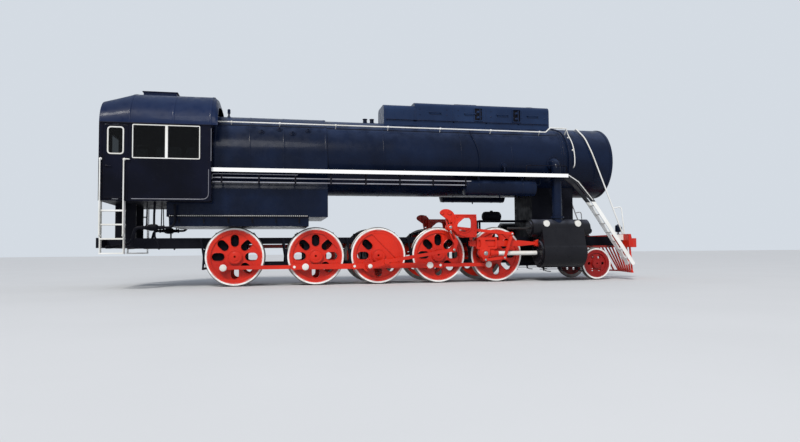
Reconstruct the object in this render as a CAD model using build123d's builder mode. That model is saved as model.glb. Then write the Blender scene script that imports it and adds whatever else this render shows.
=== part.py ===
from build123d import *
from math import atan2, cos, degrees, hypot, radians, sin, sqrt
import os

os.makedirs("parts", exist_ok=True)

# A 2-10-0 freight engine in millimetres: x forward, z up, its right side at negative y.
# The origin is on the floor under the middle of its length, at the tips of the wheel flanges.

# Overall reach, from the main driving axle
FRONT_REACH = 8250.0
REAR_REACH = 7050.0
MAIN_X = (REAR_REACH - FRONT_REACH) / 2
SIDES = (("right", -1), ("left", 1))

# Clearances
SEAT = 0.3
PIN_PLAY = 0.5
DOOR_GAP = 8.0

# Wheels and axles
FLANGE_HEIGHT = 28.0
BACK_TO_BACK = 1440.0
TYRE_WIDTH = 140.0
TYRE_THICKNESS = 75.0
FLANGE_WIDTH = 33.0
DRIVER_TREAD_R = 750.0
LEADING_TREAD_R = 450.0
AXLE_SPACING = 1700.0
REAR_AXLE_SPACING = 2100.0
LEADING_AXLE_AHEAD = 6520.0
AXLE_R = 100.0
HUB_R = 190.0
RIM_DEPTH = 65.0
WEB_THICKNESS = 50.0
HUB_PROUD = 20.0
RIM_INSET = 10.0
WEIGHT_INSET = 5.0
CRANK_R = 400.0
CRANK_BOSS_R = 130.0
MAIN_BOSS_R = 170.0
OPENING_LENGTH = 320.0
OPENING_WIDTH = 205.0
OPENING_STEP = 45.0
OPENING_CENTRE_R = 420.0
CRANK_ANGLE = {"right": 225.0, "left": 135.0}
RETURN_CRANK_LEAD = 90.0
RETURN_CRANK_R = 226.0

# Rods across the engine, as distances from the centre line
ROD_IN = 900.0
ROD_THICKNESS = 90.0
BOSS_TO_ROD = 10.0
TONGUE_THICKNESS = 40.0
CRANK_PIN_R = 60.0
MAIN_PIN_R = 95.0
PIN_NUT_THICKNESS = 28.0
PIN_NUT_WIDER = 28.0
ROD_EYE_R = 115.0
MAIN_EYE_R = 160.0
ROD_DEPTH = 140.0
OUTER_ROD_DEPTH = 100.0
KNUCKLE_R = 88.0
KNUCKLE_PIN_R = 35.0
KNUCKLE_REACH = 100.0
KNUCKLE_HEAD = 8.0
KNUCKLE_AHEAD_OF_2 = 300.0
KNUCKLE_BEHIND_3 = 390.0
KNUCKLE_BEHIND_4 = 290.0
RETURN_CRANK_GAP = 160.0
RETURN_CRANK_THICKNESS = 60.0
RETURN_CRANK_WIDTH = 150.0

# Frame
FRAME_IN = 545.0
FRAME_THICKNESS = 110.0
FRAME_TOP_HEIGHT = 1250.0
FRAME_DROP = 250.0
FRAME_END_HEIGHT = 980.0
FRAME_REAR = -6300.0
BEAM_REAR = 7200.0
BEAM_THICKNESS = 80.0
BEAM_HALF_WIDTH = 1480.0
BEAM_LOW = 920.0
BEAM_HIGH = 1300.0
HORN_GAP = 300.0
HORN_ABOVE_AXLE = 200.0
HORN_TIE = 70.0
FRAME_WEB = 150.0
FRAME_WINDOW_CORNER = 60.0
BOX_LIP = 35.0
BOX_LIP_WIDER = 30.0
BOX_BELOW_AXLE = 140.0
STRETCHER_THICKNESS = 60.0

# Boiler
BOILER_HEIGHT = 3500.0
BARREL_R = 1050.0
SMOKEBOX_R = 1040.0
FIREBOX_R = 1080.0
FIREBOX_LOW_HALF = 1160.0
FIREBOX_LOW = 1780.0
FIREBOX_FLARE_LOW = 2500.0
FIREBOX_FLARE_HIGH = 2880.0
BACKHEAD = -4700.0
FIREBOX_FRONT = -1400.0
BARREL_FRONT = 5450.0
SMOKEBOX_FRONT = 7020.0
SMOKEBOX_DOOR_R = 760.0
SMOKEBOX_DOOR_THICKNESS = 50.0
FIREBOX_FOOT_REAR = -5450.0
ASH_PAN_LOW = 1540.0
ASH_PAN_REAR = -5400.0
ASH_PAN_FRONT = -1900.0
ASH_PAN_HALF = 1130.0

# Casing on the boiler
CASING_REAR = 250.0
CASING_STEP = 1150.0
CASING_FRONT = 5280.0
CASING_HALF = 470.0
CASING_TOP = 5130.0
CASING_REAR_DROP = 90.0
CASING_CORNER = 140.0
HATCH_AHEAD = 2750.0
HATCH_LENGTH = 700.0
HATCH_HALF = 230.0
HATCH_RISE = 40.0
CHIMNEY_AHEAD = 4750.0
CHIMNEY_R = 260.0

# Cylinders
CYLINDER_HEIGHT = 780.0
CYLINDER_Y = 1150.0
CYLINDER_R = 420.0
CYLINDER_REAR = 4570.0
CYLINDER_FRONT = 5840.0
VALVE_R = 250.0
VALVE_HEIGHT = 1480.0
VALVE_REAR = 4320.0
VALVE_FRONT = 6040.0
COVER_R = 350.0
COVER_THICKNESS = 50.0
STEAM_PIPE_R = 140.0
STEAM_PIPE_AHEAD = 5120.0
STEAM_PIPE_TOP = 3360.0

# Motion
GUIDE_REAR = 2500.0
GUIDE_LOW = 970.0
GUIDE_HIGH = 1140.0
GUIDE_HALF_WIDTH = 60.0
CROSSHEAD_REAR = 2680.0
CROSSHEAD_FRONT = 3300.0
CROSSHEAD_HIGH = 1220.0
CROSSHEAD_HALF = 108.0
PISTON_ROD_R = 60.0
GUDGEON_R = 70.0
GUDGEON_AHEAD = 2980.0
GUDGEON_PROUD = 12.0
BRACKET_REAR = 1940.0
BRACKET_FRONT = 2640.0
BRACKET_LOW = 1220.0
BRACKET_HIGH = 1850.0
BRACKET_PLATE = 40.0
BRACKET_IN = 1160.0
BRACKET_OUT = 1360.0
ARM_REAR = 2400.0
ARM_FRONT = 2640.0
LINK_THICKNESS = 50.0
LINK_FOOT = (2020.0, 885.0)
ECCENTRIC_DEPTH = 90.0
ECCENTRIC_EYE_R = 75.0
LEVER_TOP = (3700.0, 1316.0)
LEVER_LOW = (3480.0, 654.0)
UNION_REAR = (2930.0, 600.0)
LEVER_WIDTH = 80.0

# Running boards and steps
BOARD_HEIGHT = 3000.0
BOARD_THICKNESS = 30.0
BOARD_HALF_WIDTH = 1500.0
BOARD_EDGE = 100.0
BOARD_EDGE_THICKNESS = 30.0
BOARD_FRONT = 5350.0
TANK_R = 225.0
TANK_REAR = 2370.0
TANK_FRONT = 4420.0
TANK_Y = 1200.0
TANK_HEIGHT = 2610.0

# Cab
CAB_REAR = -6950.0
CAB_FRONT = -4340.0
CAB_HALF_WIDTH = 1570.0
CAB_WALL = 40.0
CAB_LOW = 2140.0
EAVES = 4060.0
ROOF_RISE = 990.0
ROOF_REAR_DROP = 230.0
ROOF_SLOPE_START = -6290.0
VISOR_REACH = 90.0
VISOR_DROP = 80.0
ROOF_FRONT_REACH = 150.0
ROOF_FRONT_DROP = 260.0
SHOULDER_OUT = 0.68
SHOULDER_UP = 0.79
HAUNCH_OUT = 0.93
HAUNCH_UP = 0.43
VENT_REAR = -6160.0
VENT_FRONT = -5330.0
VENT_HALF = 430.0
VENT_RISE = 60.0
WINDOW_REAR = -6190.0
WINDOW_FRONT = -4610.0
WINDOW_LOW = 3184.0
WINDOW_HIGH = 4018.0
WINDOW_MULLION = 60.0
WINDOW_CORNER = 70.0
DOOR_REAR = -6860.0
DOOR_FRONT = -6280.0
DOOR_HIGH = 4010.0
DOOR_WINDOW_MARGIN = 110.0
DOOR_WINDOW_LOW = 3280.0
DOOR_WINDOW_HIGH = 3940.0
DOOR_HINGE_HEIGHTS = (2500.0, 3700.0)
DOOR_HINGE_INBOARD = 12.0
DOOR_HINGE_PIN_R = 8.0
DOOR_HINGE_R = 12.0
DOOR_HINGE_LEAF = 90.0
DOOR_HINGE_TALL = 60.0
DOOR_HINGE_LUG_TALL = 30.0
REAR_DOORWAY_HALF = 420.0
REAR_DOORWAY_HIGH = 3950.0

# Brakes
SHOE_GAP = 6.0
SHOE_THICKNESS = 50.0
SHOE_WIDTH = 80.0
SHOE_HALF_ANGLE = 14.0
HANGER_BEHIND = 850.0
HANGER_HEIGHT = 1200.0

# Leading truck
TRUCK_PIVOT_AHEAD = 4350.0
TRUCK_PIVOT_R = 60.0
TRUCK_EYE_R = 130.0
TRUCK_BAR_WIDTH = 160.0
TRUCK_BAR_HEIGHT = 90.0
TRUCK_SIDE_Y = 500.0
TRUCK_SIDE_THICKNESS = 70.0
TRUCK_SIDE_REACH = 380.0


def ahead(distance):
    return MAIN_X + distance


def above(height):
    return FLANGE_HEIGHT + height


def slab(side, near):
    """Plane at a distance from the centre line; extruding by side_depth goes outwards."""
    return Plane.XZ.offset(-side * near)


def side_depth(side, depth):
    return -side * depth


def polar(radius, angle):
    return (radius * cos(radians(angle)), radius * sin(radians(angle)))


def between(start, end):
    """Middle, length and angle of the line from one point of the side view to another."""
    across = end[0] - start[0]
    up = end[1] - start[1]
    middle = ((start[0] + end[0]) / 2, (start[1] + end[1]) / 2)
    return middle, hypot(across, up), degrees(atan2(up, across))


AXLE_Z = above(DRIVER_TREAD_R)
LEADING_Z = above(LEADING_TREAD_R)
WHEEL_IN = BACK_TO_BACK / 2
WHEEL_OUT = WHEEL_IN + TYRE_WIDTH
RIM_IN = WHEEL_IN + RIM_INSET
RIM_OUT = WHEEL_OUT - RIM_INSET
WEB_IN = (WHEEL_IN + WHEEL_OUT - WEB_THICKNESS) / 2
WEB_OUT = WEB_IN + WEB_THICKNESS
BOSS_OUT = ROD_IN - BOSS_TO_ROD
ROD_OUT = ROD_IN + ROD_THICKNESS
FRAME_OUT = FRAME_IN + FRAME_THICKNESS
FRAME_TOP = above(FRAME_TOP_HEIGHT)
FRAME_LOW = AXLE_Z - FRAME_DROP
BOILER_Z = above(BOILER_HEIGHT)
CYLINDER_Z = above(CYLINDER_HEIGHT)
CAB_IN = CAB_HALF_WIDTH - CAB_WALL
FLOOR_TOP = above(CAB_LOW) + CAB_WALL

AXLES = {
    1: 2 * AXLE_SPACING,
    2: AXLE_SPACING,
    3: 0.0,
    4: -AXLE_SPACING,
    5: -AXLE_SPACING - REAR_AXLE_SPACING,
}


def wheel_half_section(side, tread_r, hub_r):
    """Half-section of one wheel centre and its half of the axle: distance across, radius."""
    outer = tread_r - TYRE_THICKNESS - SEAT
    rim = outer - RIM_DEPTH
    points = (
        (0, 0),
        (0, AXLE_R),
        (WHEEL_IN - HUB_PROUD, AXLE_R),
        (WHEEL_IN - HUB_PROUD, hub_r),
        (WEB_IN, hub_r),
        (WEB_IN, rim),
        (RIM_IN, rim),
        (RIM_IN, outer),
        (RIM_OUT, outer),
        (RIM_OUT, rim),
        (WEB_OUT, rim),
        (WEB_OUT, hub_r),
        (WHEEL_OUT + HUB_PROUD, hub_r),
        (WHEEL_OUT + HUB_PROUD, 0),
    )
    return [(side * across, radius) for across, radius in points]


def tyre_half_section(side, tread_r):
    """Half-section of one tyre, with its flange at the inner face: distance across, radius."""
    bore = tread_r - TYRE_THICKNESS
    points = (
        (WHEEL_IN, bore),
        (WHEEL_OUT, bore),
        (WHEEL_OUT, tread_r),
        (WHEEL_IN + FLANGE_WIDTH, tread_r),
        (WHEEL_IN + FLANGE_WIDTH / 2, tread_r + FLANGE_HEIGHT),
        (WHEEL_IN, tread_r + FLANGE_HEIGHT / 3),
    )
    return [(side * across, radius) for across, radius in points]


def around(centre, radius, angle):
    across, up = polar(radius, angle)
    return (centre[0] + across, centre[1] + up)


# Driving wheels: axle number, openings in steps from the crank, half angle of the counterweight
DRIVER_TABLE = (
    (1, (1, 2, 3, 4, 5, 6, 7), 26),
    (2, (1, 2, 3, 4, 5, 6, 7), 26),
    (3, (1, 2, 6, 7), 62),
    (4, (1, 2, 3, 4, 5, 6, 7), 26),
    (5, (1, 2, 3, 4, 5, 6, 7), 26),
)

for number, openings, weight_half_angle in DRIVER_TABLE:
    axle_x = ahead(AXLES[number])
    main = number == 3
    boss_r = MAIN_BOSS_R if main else CRANK_BOSS_R
    pin_r = MAIN_PIN_R if main else CRANK_PIN_R
    half_plane = Plane(origin=(axle_x, 0, AXLE_Z), x_dir=(0, 1, 0), z_dir=(1, 0, 0))
    axle_line = Axis((axle_x, 0, AXLE_Z), (0, 1, 0))
    weight_r = DRIVER_TREAD_R - TYRE_THICKNESS - RIM_DEPTH + WEIGHT_INSET

    with BuildPart() as driver_wheelset:
        with BuildSketch(half_plane):
            for side in (-1, 1):
                Polygon(*wheel_half_section(side, DRIVER_TREAD_R, HUB_R), align=None)
        revolve(axis=axle_line)
        for side_name, side in SIDES:
            crank = CRANK_ANGLE[side_name]
            pin_x, pin_z = polar(CRANK_R, crank)
            centre = (axle_x + pin_x, AXLE_Z + pin_z)
            spots = []
            for step in openings:
                angle = crank + step * OPENING_STEP
                across, up = polar(OPENING_CENTRE_R, angle)
                spots.append(Location((axle_x + across, AXLE_Z + up, 0), (0, 0, angle)))
            with BuildSketch(slab(side, WEB_IN)):
                with Locations(*spots):
                    SlotOverall(OPENING_LENGTH, OPENING_WIDTH)
            extrude(amount=side_depth(side, WEB_THICKNESS), mode=Mode.SUBTRACT)
            hub = (axle_x, AXLE_Z)
            first = around(hub, weight_r, crank + 180 - weight_half_angle)
            top = around(hub, weight_r, crank + 180)
            last = around(hub, weight_r, crank + 180 + weight_half_angle)
            with BuildSketch(slab(side, WEB_OUT)):
                with BuildLine():
                    ThreePointArc(first, top, last)
                    Line(last, first)
                make_face()
            extrude(amount=side_depth(side, RIM_OUT - WEB_OUT - WEIGHT_INSET))
            with BuildSketch(slab(side, WEB_IN)):
                with Locations(centre):
                    Circle(boss_r)
            extrude(amount=side_depth(side, BOSS_OUT - WEB_IN))
            with BuildSketch(slab(side, BOSS_OUT)):
                with Locations(centre):
                    Circle(pin_r)
            pin_end = RETURN_CRANK_GAP if main else PIN_PLAY
            extrude(amount=side_depth(side, ROD_OUT + pin_end - BOSS_OUT))
            if main:
                arm_in = ROD_OUT + RETURN_CRANK_GAP
                return_x, return_z = polar(RETURN_CRANK_R, crank + RETURN_CRANK_LEAD)
                tip = (axle_x + return_x, AXLE_Z + return_z)
                middle, length, angle = between(centre, tip)
                with BuildSketch(slab(side, arm_in)):
                    with Locations(Location((*middle, 0), (0, 0, angle))):
                        SlotCenterToCenter(length, RETURN_CRANK_WIDTH)
                extrude(amount=side_depth(side, RETURN_CRANK_THICKNESS))
            else:
                with BuildSketch(slab(side, ROD_OUT + PIN_PLAY)):
                    with Locations(centre):
                        Circle(pin_r + PIN_NUT_WIDER)
                extrude(amount=side_depth(side, PIN_NUT_THICKNESS))
    driver_wheelset.part.label = f"driver_wheelset_{number}"
    export_step(driver_wheelset.part, f"parts/driver_wheelset_{number}.step")

    with BuildPart() as driver_tyres:
        with BuildSketch(half_plane):
            for side in (-1, 1):
                Polygon(*tyre_half_section(side, DRIVER_TREAD_R), align=None)
        revolve(axis=axle_line)
    driver_tyres.part.label = f"driver_tyres_{number}"
    export_step(driver_tyres.part, f"parts/driver_tyres_{number}.step")

# Coupling rods: four sections a side, hinged to each other at the knuckles beside axles 2, 3 and 4
KNUCKLES = {
    "front": AXLES[2] + KNUCKLE_AHEAD_OF_2,
    "middle": AXLES[3] - KNUCKLE_BEHIND_3,
    "rear": AXLES[4] - KNUCKLE_BEHIND_4,
}
# Rod sections: front end, rear end, depth, crank pins by axle, tongue knuckles, fork knuckles
ROD_TABLE = (
    (AXLES[1], KNUCKLES["front"], OUTER_ROD_DEPTH, (1,), ("front",), ()),
    (KNUCKLES["front"], KNUCKLES["middle"], ROD_DEPTH, (2, 3), (), ("front", "middle")),
    (KNUCKLES["middle"], KNUCKLES["rear"], ROD_DEPTH, (4,), ("middle",), ("rear",)),
    (KNUCKLES["rear"], AXLES[5], OUTER_ROD_DEPTH, (5,), ("rear",), ()),
)

for side_name, side in SIDES:
    pin_x, pin_z = polar(CRANK_R, CRANK_ANGLE[side_name])
    rod_z = AXLE_Z + pin_z
    cheek = (ROD_THICKNESS - TONGUE_THICKNESS) / 2
    sections = []
    for front, rear, depth, pins, tongues, forks in ROD_TABLE:
        with BuildPart() as rod_section:
            with BuildSketch(slab(side, ROD_IN)):
                with Locations((ahead((front + rear) / 2) + pin_x, rod_z)):
                    Rectangle(front - rear, depth)
                for axle in pins:
                    with Locations((ahead(AXLES[axle]) + pin_x, rod_z)):
                        Circle(MAIN_EYE_R if axle == 3 else ROD_EYE_R)
                for knuckle in tongues + forks:
                    with Locations((ahead(KNUCKLES[knuckle]) + pin_x, rod_z)):
                        Circle(KNUCKLE_R)
                for axle in pins:
                    pin_r = MAIN_PIN_R if axle == 3 else CRANK_PIN_R
                    with Locations((ahead(AXLES[axle]) + pin_x, rod_z)):
                        Circle(pin_r + PIN_PLAY, mode=Mode.SUBTRACT)
                for knuckle in tongues + forks:
                    with Locations((ahead(KNUCKLES[knuckle]) + pin_x, rod_z)):
                        Circle(KNUCKLE_PIN_R + SEAT, mode=Mode.SUBTRACT)
            extrude(amount=side_depth(side, ROD_THICKNESS))
            for knuckle in tongues:
                for near in (ROD_IN, ROD_OUT - cheek):
                    with BuildSketch(slab(side, near)):
                        with Locations((ahead(KNUCKLES[knuckle]) + pin_x, rod_z)):
                            Rectangle(2 * KNUCKLE_REACH, 2 * KNUCKLE_REACH)
                    extrude(amount=side_depth(side, cheek), mode=Mode.SUBTRACT)
            for knuckle in forks:
                with BuildSketch(slab(side, ROD_IN + cheek - SEAT)):
                    with Locations((ahead(KNUCKLES[knuckle]) + pin_x, rod_z)):
                        Rectangle(2 * KNUCKLE_REACH, 2 * KNUCKLE_REACH)
                fork_gap = TONGUE_THICKNESS + 2 * SEAT
                extrude(amount=side_depth(side, fork_gap), mode=Mode.SUBTRACT)
        sections.append(rod_section.part)
    with BuildPart() as coupling_rods:
        for section in sections:
            add(section)
        for knuckle in KNUCKLES.values():
            with BuildSketch(slab(side, ROD_IN - KNUCKLE_HEAD)):
                with Locations((ahead(knuckle) + pin_x, rod_z)):
                    Circle(KNUCKLE_PIN_R)
            extrude(amount=side_depth(side, ROD_THICKNESS + 2 * KNUCKLE_HEAD))
    coupling_rods.part.label = f"coupling_rods_{side_name}"
    export_step(coupling_rods.part, f"parts/coupling_rods_{side_name}.step")

# Frame plates: one a side, with windows between the axles and horn gaps for the axle boxes
FRAME_END_LOW = above(FRAME_END_HEIGHT)
FRAME_TOP_RAIL = 150.0
FRAME_LOW_RAIL = 100.0
SHOULDER_NEAR = 450.0
SHOULDER_FAR = 800.0
with BuildPart() as frame_plates:
    for side_name, side in SIDES:
        with BuildSketch(slab(side, FRAME_IN)):
            Polygon(
                (ahead(FRAME_REAR), FRAME_TOP),
                (ahead(BEAM_REAR), FRAME_TOP),
                (ahead(BEAM_REAR), FRAME_END_LOW),
                (ahead(AXLES[1] + SHOULDER_FAR), FRAME_END_LOW),
                (ahead(AXLES[1] + SHOULDER_NEAR), FRAME_LOW),
                (ahead(AXLES[5] - SHOULDER_NEAR), FRAME_LOW),
                (ahead(AXLES[5] - SHOULDER_FAR), FRAME_END_LOW),
                (ahead(FRAME_REAR), FRAME_END_LOW),
                align=None,
            )
            for number in (1, 2, 3, 4):
                spacing = AXLES[number] - AXLES[number + 1]
                window_x = ahead(AXLES[number] - spacing / 2)
                low = FRAME_LOW + FRAME_LOW_RAIL
                high = FRAME_TOP - FRAME_TOP_RAIL
                with Locations((window_x, (low + high) / 2)):
                    RectangleRounded(
                        spacing - HORN_GAP - 2 * FRAME_WEB,
                        high - low,
                        FRAME_WINDOW_CORNER,
                        mode=Mode.SUBTRACT,
                    )
            for distance in AXLES.values():
                low = FRAME_LOW + HORN_TIE
                high = AXLE_Z + HORN_ABOVE_AXLE
                with Locations((ahead(distance), (low + high) / 2)):
                    Rectangle(HORN_GAP, high - low, mode=Mode.SUBTRACT)
        extrude(amount=side_depth(side, FRAME_THICKNESS))
frame_plates.part.label = "frame_plates"
export_step(frame_plates.part, "parts/frame_plates.step")

# Axle boxes: blocks that slide in the horn gaps, with lips that hold them to both faces of the plate
BOX_ABOVE_AXLE = 150.0
with BuildPart() as axle_boxes:
    for side_name, side in SIDES:
        for distance in AXLES.values():
            box_z = AXLE_Z + (BOX_ABOVE_AXLE - BOX_BELOW_AXLE) / 2
            box_height = BOX_ABOVE_AXLE + BOX_BELOW_AXLE
            # Box layers: inner distance, outer distance, width
            layers = (
                (FRAME_IN - BOX_LIP, FRAME_OUT + BOX_LIP, HORN_GAP - 2 * SEAT),
                (FRAME_IN - BOX_LIP, FRAME_IN - SEAT, HORN_GAP + 2 * BOX_LIP_WIDER),
                (FRAME_OUT + SEAT, FRAME_OUT + BOX_LIP, HORN_GAP + 2 * BOX_LIP_WIDER),
            )
            for near, far, width in layers:
                with BuildSketch(slab(side, near)):
                    with Locations((ahead(distance), box_z)):
                        Rectangle(width, box_height)
                extrude(amount=side_depth(side, far - near))
            with BuildSketch(slab(side, FRAME_IN - BOX_LIP)):
                with Locations((ahead(distance), AXLE_Z)):
                    Circle(AXLE_R + SEAT)
            extrude(amount=side_depth(side, FRAME_THICKNESS + 2 * BOX_LIP), mode=Mode.SUBTRACT)
axle_boxes.part.label = "axle_boxes"
export_step(axle_boxes.part, "parts/axle_boxes.step")

# Leaf springs on the frame, each with a saddle whose legs press on its axle box
LEAF_THICKNESS = 25.0
LEAF_HALF_LENGTHS = (500.0, 400.0, 300.0, 200.0)
SPRING_POST_HEIGHT = 110.0
SPRING_POST_WIDTH = 50.0
SADDLE_HALF = 55.0
SADDLE_LEG = 20.0
SADDLE_LEG_HALF = 40.0
SPRING_TOP = FRAME_TOP + SPRING_POST_HEIGHT + LEAF_THICKNESS * len(LEAF_HALF_LENGTHS)
with BuildPart() as springs:
    for side_name, side in SIDES:
        for distance in AXLES.values():
            axle_x = ahead(distance)
            with BuildSketch(slab(side, FRAME_IN)):
                for level, half_length in enumerate(LEAF_HALF_LENGTHS):
                    leaf_z = FRAME_TOP + SPRING_POST_HEIGHT + LEAF_THICKNESS * (level + 0.5)
                    with Locations((axle_x, leaf_z)):
                        Rectangle(2 * half_length, LEAF_THICKNESS)
                post_x = LEAF_HALF_LENGTHS[0] - SPRING_POST_WIDTH / 2
                for post in (-post_x, post_x):
                    with Locations((axle_x + post, FRAME_TOP + SPRING_POST_HEIGHT / 2)):
                        Rectangle(SPRING_POST_WIDTH, SPRING_POST_HEIGHT)
            extrude(amount=side_depth(side, FRAME_THICKNESS))
            with BuildSketch(slab(side, FRAME_IN - SADDLE_LEG - SEAT)):
                saddle_low = FRAME_TOP + SPRING_POST_HEIGHT - LEAF_THICKNESS
                saddle_high = SPRING_TOP + LEAF_THICKNESS
                with Locations((axle_x, (saddle_low + saddle_high) / 2)):
                    Rectangle(2 * SADDLE_HALF, saddle_high - saddle_low)
            extrude(amount=side_depth(side, FRAME_THICKNESS + 2 * (SADDLE_LEG + SEAT)))
            for near in (FRAME_IN - SADDLE_LEG - SEAT, FRAME_OUT + SEAT):
                leg_low = AXLE_Z + BOX_ABOVE_AXLE
                with BuildSketch(slab(side, near)):
                    with Locations((axle_x, (leg_low + saddle_high) / 2)):
                        Rectangle(2 * SADDLE_LEG_HALF, saddle_high - leg_low)
                extrude(amount=side_depth(side, SADDLE_LEG))
springs.part.label = "springs"
export_step(springs.part, "parts/springs.step")

# Stretchers between the frame plates; the front one carries the pin of the leading truck
STRETCHER_HOLE_R = 170.0
STRETCHER_BEHIND_AXLE = 225.0
PIVOT_BLOCK_LENGTH = 300.0
PIVOT_COLLAR_R = 95.0
PIVOT_COLLAR = 25.0
BEARING_LENGTH = 500.0
truck_low = LEADING_Z - TRUCK_BAR_HEIGHT / 2
collar_top = truck_low - PIN_PLAY
with BuildPart() as frame_stretchers:
    for distance in AXLES.values():
        with BuildSketch(Plane.YZ.offset(ahead(distance - STRETCHER_BEHIND_AXLE))):
            with Locations((0, (FRAME_LOW + FRAME_TOP) / 2)):
                Rectangle(2 * FRAME_IN, FRAME_TOP - FRAME_LOW)
                Circle(STRETCHER_HOLE_R, mode=Mode.SUBTRACT)
        extrude(amount=STRETCHER_THICKNESS / 2, both=True)
    for place, length in (
        (TRUCK_PIVOT_AHEAD, PIVOT_BLOCK_LENGTH),
        (LEADING_AXLE_AHEAD, BEARING_LENGTH),
    ):
        with BuildSketch(Plane.XY.offset(FRAME_END_LOW)):
            with Locations((ahead(place), 0)):
                Rectangle(length, 2 * FRAME_IN)
        extrude(amount=FRAME_TOP - FRAME_END_LOW)
    with BuildSketch(Plane.XY.offset(collar_top - PIVOT_COLLAR)):
        with Locations((ahead(TRUCK_PIVOT_AHEAD), 0)):
            Circle(TRUCK_PIVOT_R)
    extrude(amount=FRAME_END_LOW - collar_top + PIVOT_COLLAR)
    with BuildSketch(Plane.XY.offset(collar_top - PIVOT_COLLAR)):
        with Locations((ahead(TRUCK_PIVOT_AHEAD), 0)):
            Circle(PIVOT_COLLAR_R)
    extrude(amount=PIVOT_COLLAR)
frame_stretchers.part.label = "frame_stretchers"
export_step(frame_stretchers.part, "parts/frame_stretchers.step")

# Front beam
with BuildPart() as front_beam:
    with BuildSketch(Plane.YZ.offset(ahead(BEAM_REAR))):
        with Locations((0, above((BEAM_LOW + BEAM_HIGH) / 2))):
            RectangleRounded(2 * BEAM_HALF_WIDTH, BEAM_HIGH - BEAM_LOW, BEAM_THICKNESS / 2)
    extrude(amount=BEAM_THICKNESS)
front_beam.part.label = "front_beam"
export_step(front_beam.part, "parts/front_beam.step")

# Cowcatcher: sloping slats from a bar on the beam to a pointed bar over the rails
COW_LOW = 180.0
COW_BAR = 45.0
COW_HALF = 1380.0
COW_REACH = 460.0
COW_SIDE_REACH = 60.0
COW_SLATS = 15
COW_SLAT = 30.0
cow_x = ahead(BEAM_REAR + BEAM_THICKNESS)
cow_high = above(BEAM_LOW) + COW_BAR
with BuildPart() as cowcatcher:
    with BuildSketch(Plane.XY.offset(above(BEAM_LOW))):
        with Locations((cow_x + COW_BAR / 2, 0)):
            Rectangle(COW_BAR, 2 * COW_HALF)
    extrude(amount=COW_BAR)
    with BuildSketch(Plane.XY.offset(above(COW_LOW))):
        Polygon(
            (cow_x + COW_SIDE_REACH, -COW_HALF),
            (cow_x + COW_SIDE_REACH + COW_BAR, -COW_HALF),
            (cow_x + COW_REACH + COW_BAR, 0),
            (cow_x + COW_SIDE_REACH + COW_BAR, COW_HALF),
            (cow_x + COW_SIDE_REACH, COW_HALF),
            (cow_x + COW_REACH, 0),
            align=None,
        )
    extrude(amount=COW_BAR)
    for index in range(COW_SLATS):
        share = 2 * index / (COW_SLATS - 1) - 1
        reach = COW_REACH - abs(share) * (COW_REACH - COW_SIDE_REACH)
        slat_y = share * (COW_HALF - COW_SLAT)
        with BuildSketch(Plane.XZ.offset(-slat_y)):
            Polygon(
                (cow_x, cow_high),
                (cow_x + COW_BAR, cow_high),
                (cow_x + reach + COW_BAR, above(COW_LOW)),
                (cow_x + reach, above(COW_LOW)),
                align=None,
            )
        extrude(amount=COW_SLAT / 2, both=True)
cowcatcher.part.label = "cowcatcher"
export_step(cowcatcher.part, "parts/cowcatcher.step")

# Front coupler: shank and claw head with its large and small teeth
COUPLER_HEIGHT = 1060.0
SHANK_HALF = 95.0
SHANK_TALL = 180.0
HEAD_TALL = 280.0
HEAD_DEPTH = 500.0
shank_rear = BEAM_REAR + BEAM_THICKNESS
shank_front = FRONT_REACH - HEAD_DEPTH
with BuildPart() as front_coupler:
    with BuildSketch(Plane.XY.offset(above(COUPLER_HEIGHT) - SHANK_TALL / 2)):
        with Locations((ahead((shank_rear + shank_front) / 2), 0)):
            Rectangle(shank_front - shank_rear, 2 * SHANK_HALF)
    extrude(amount=SHANK_TALL)
    # Plan of the head, as distances behind the coupler face and to the left
    head = (
        (HEAD_DEPTH, -SHANK_HALF), (380, -230), (150, -265), (0, -215), (0, -150), (190, -40),
        (190, 70), (90, 130), (90, 200), (260, 265), (400, 200), (HEAD_DEPTH, SHANK_HALF),
    )
    with BuildSketch(Plane.XY.offset(above(COUPLER_HEIGHT) - HEAD_TALL / 2)):
        Polygon(*[(ahead(FRONT_REACH) - back, left) for back, left in head], align=None)
    extrude(amount=HEAD_TALL)
front_coupler.part.label = "front_coupler"
export_step(front_coupler.part, "parts/front_coupler.step")

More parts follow.
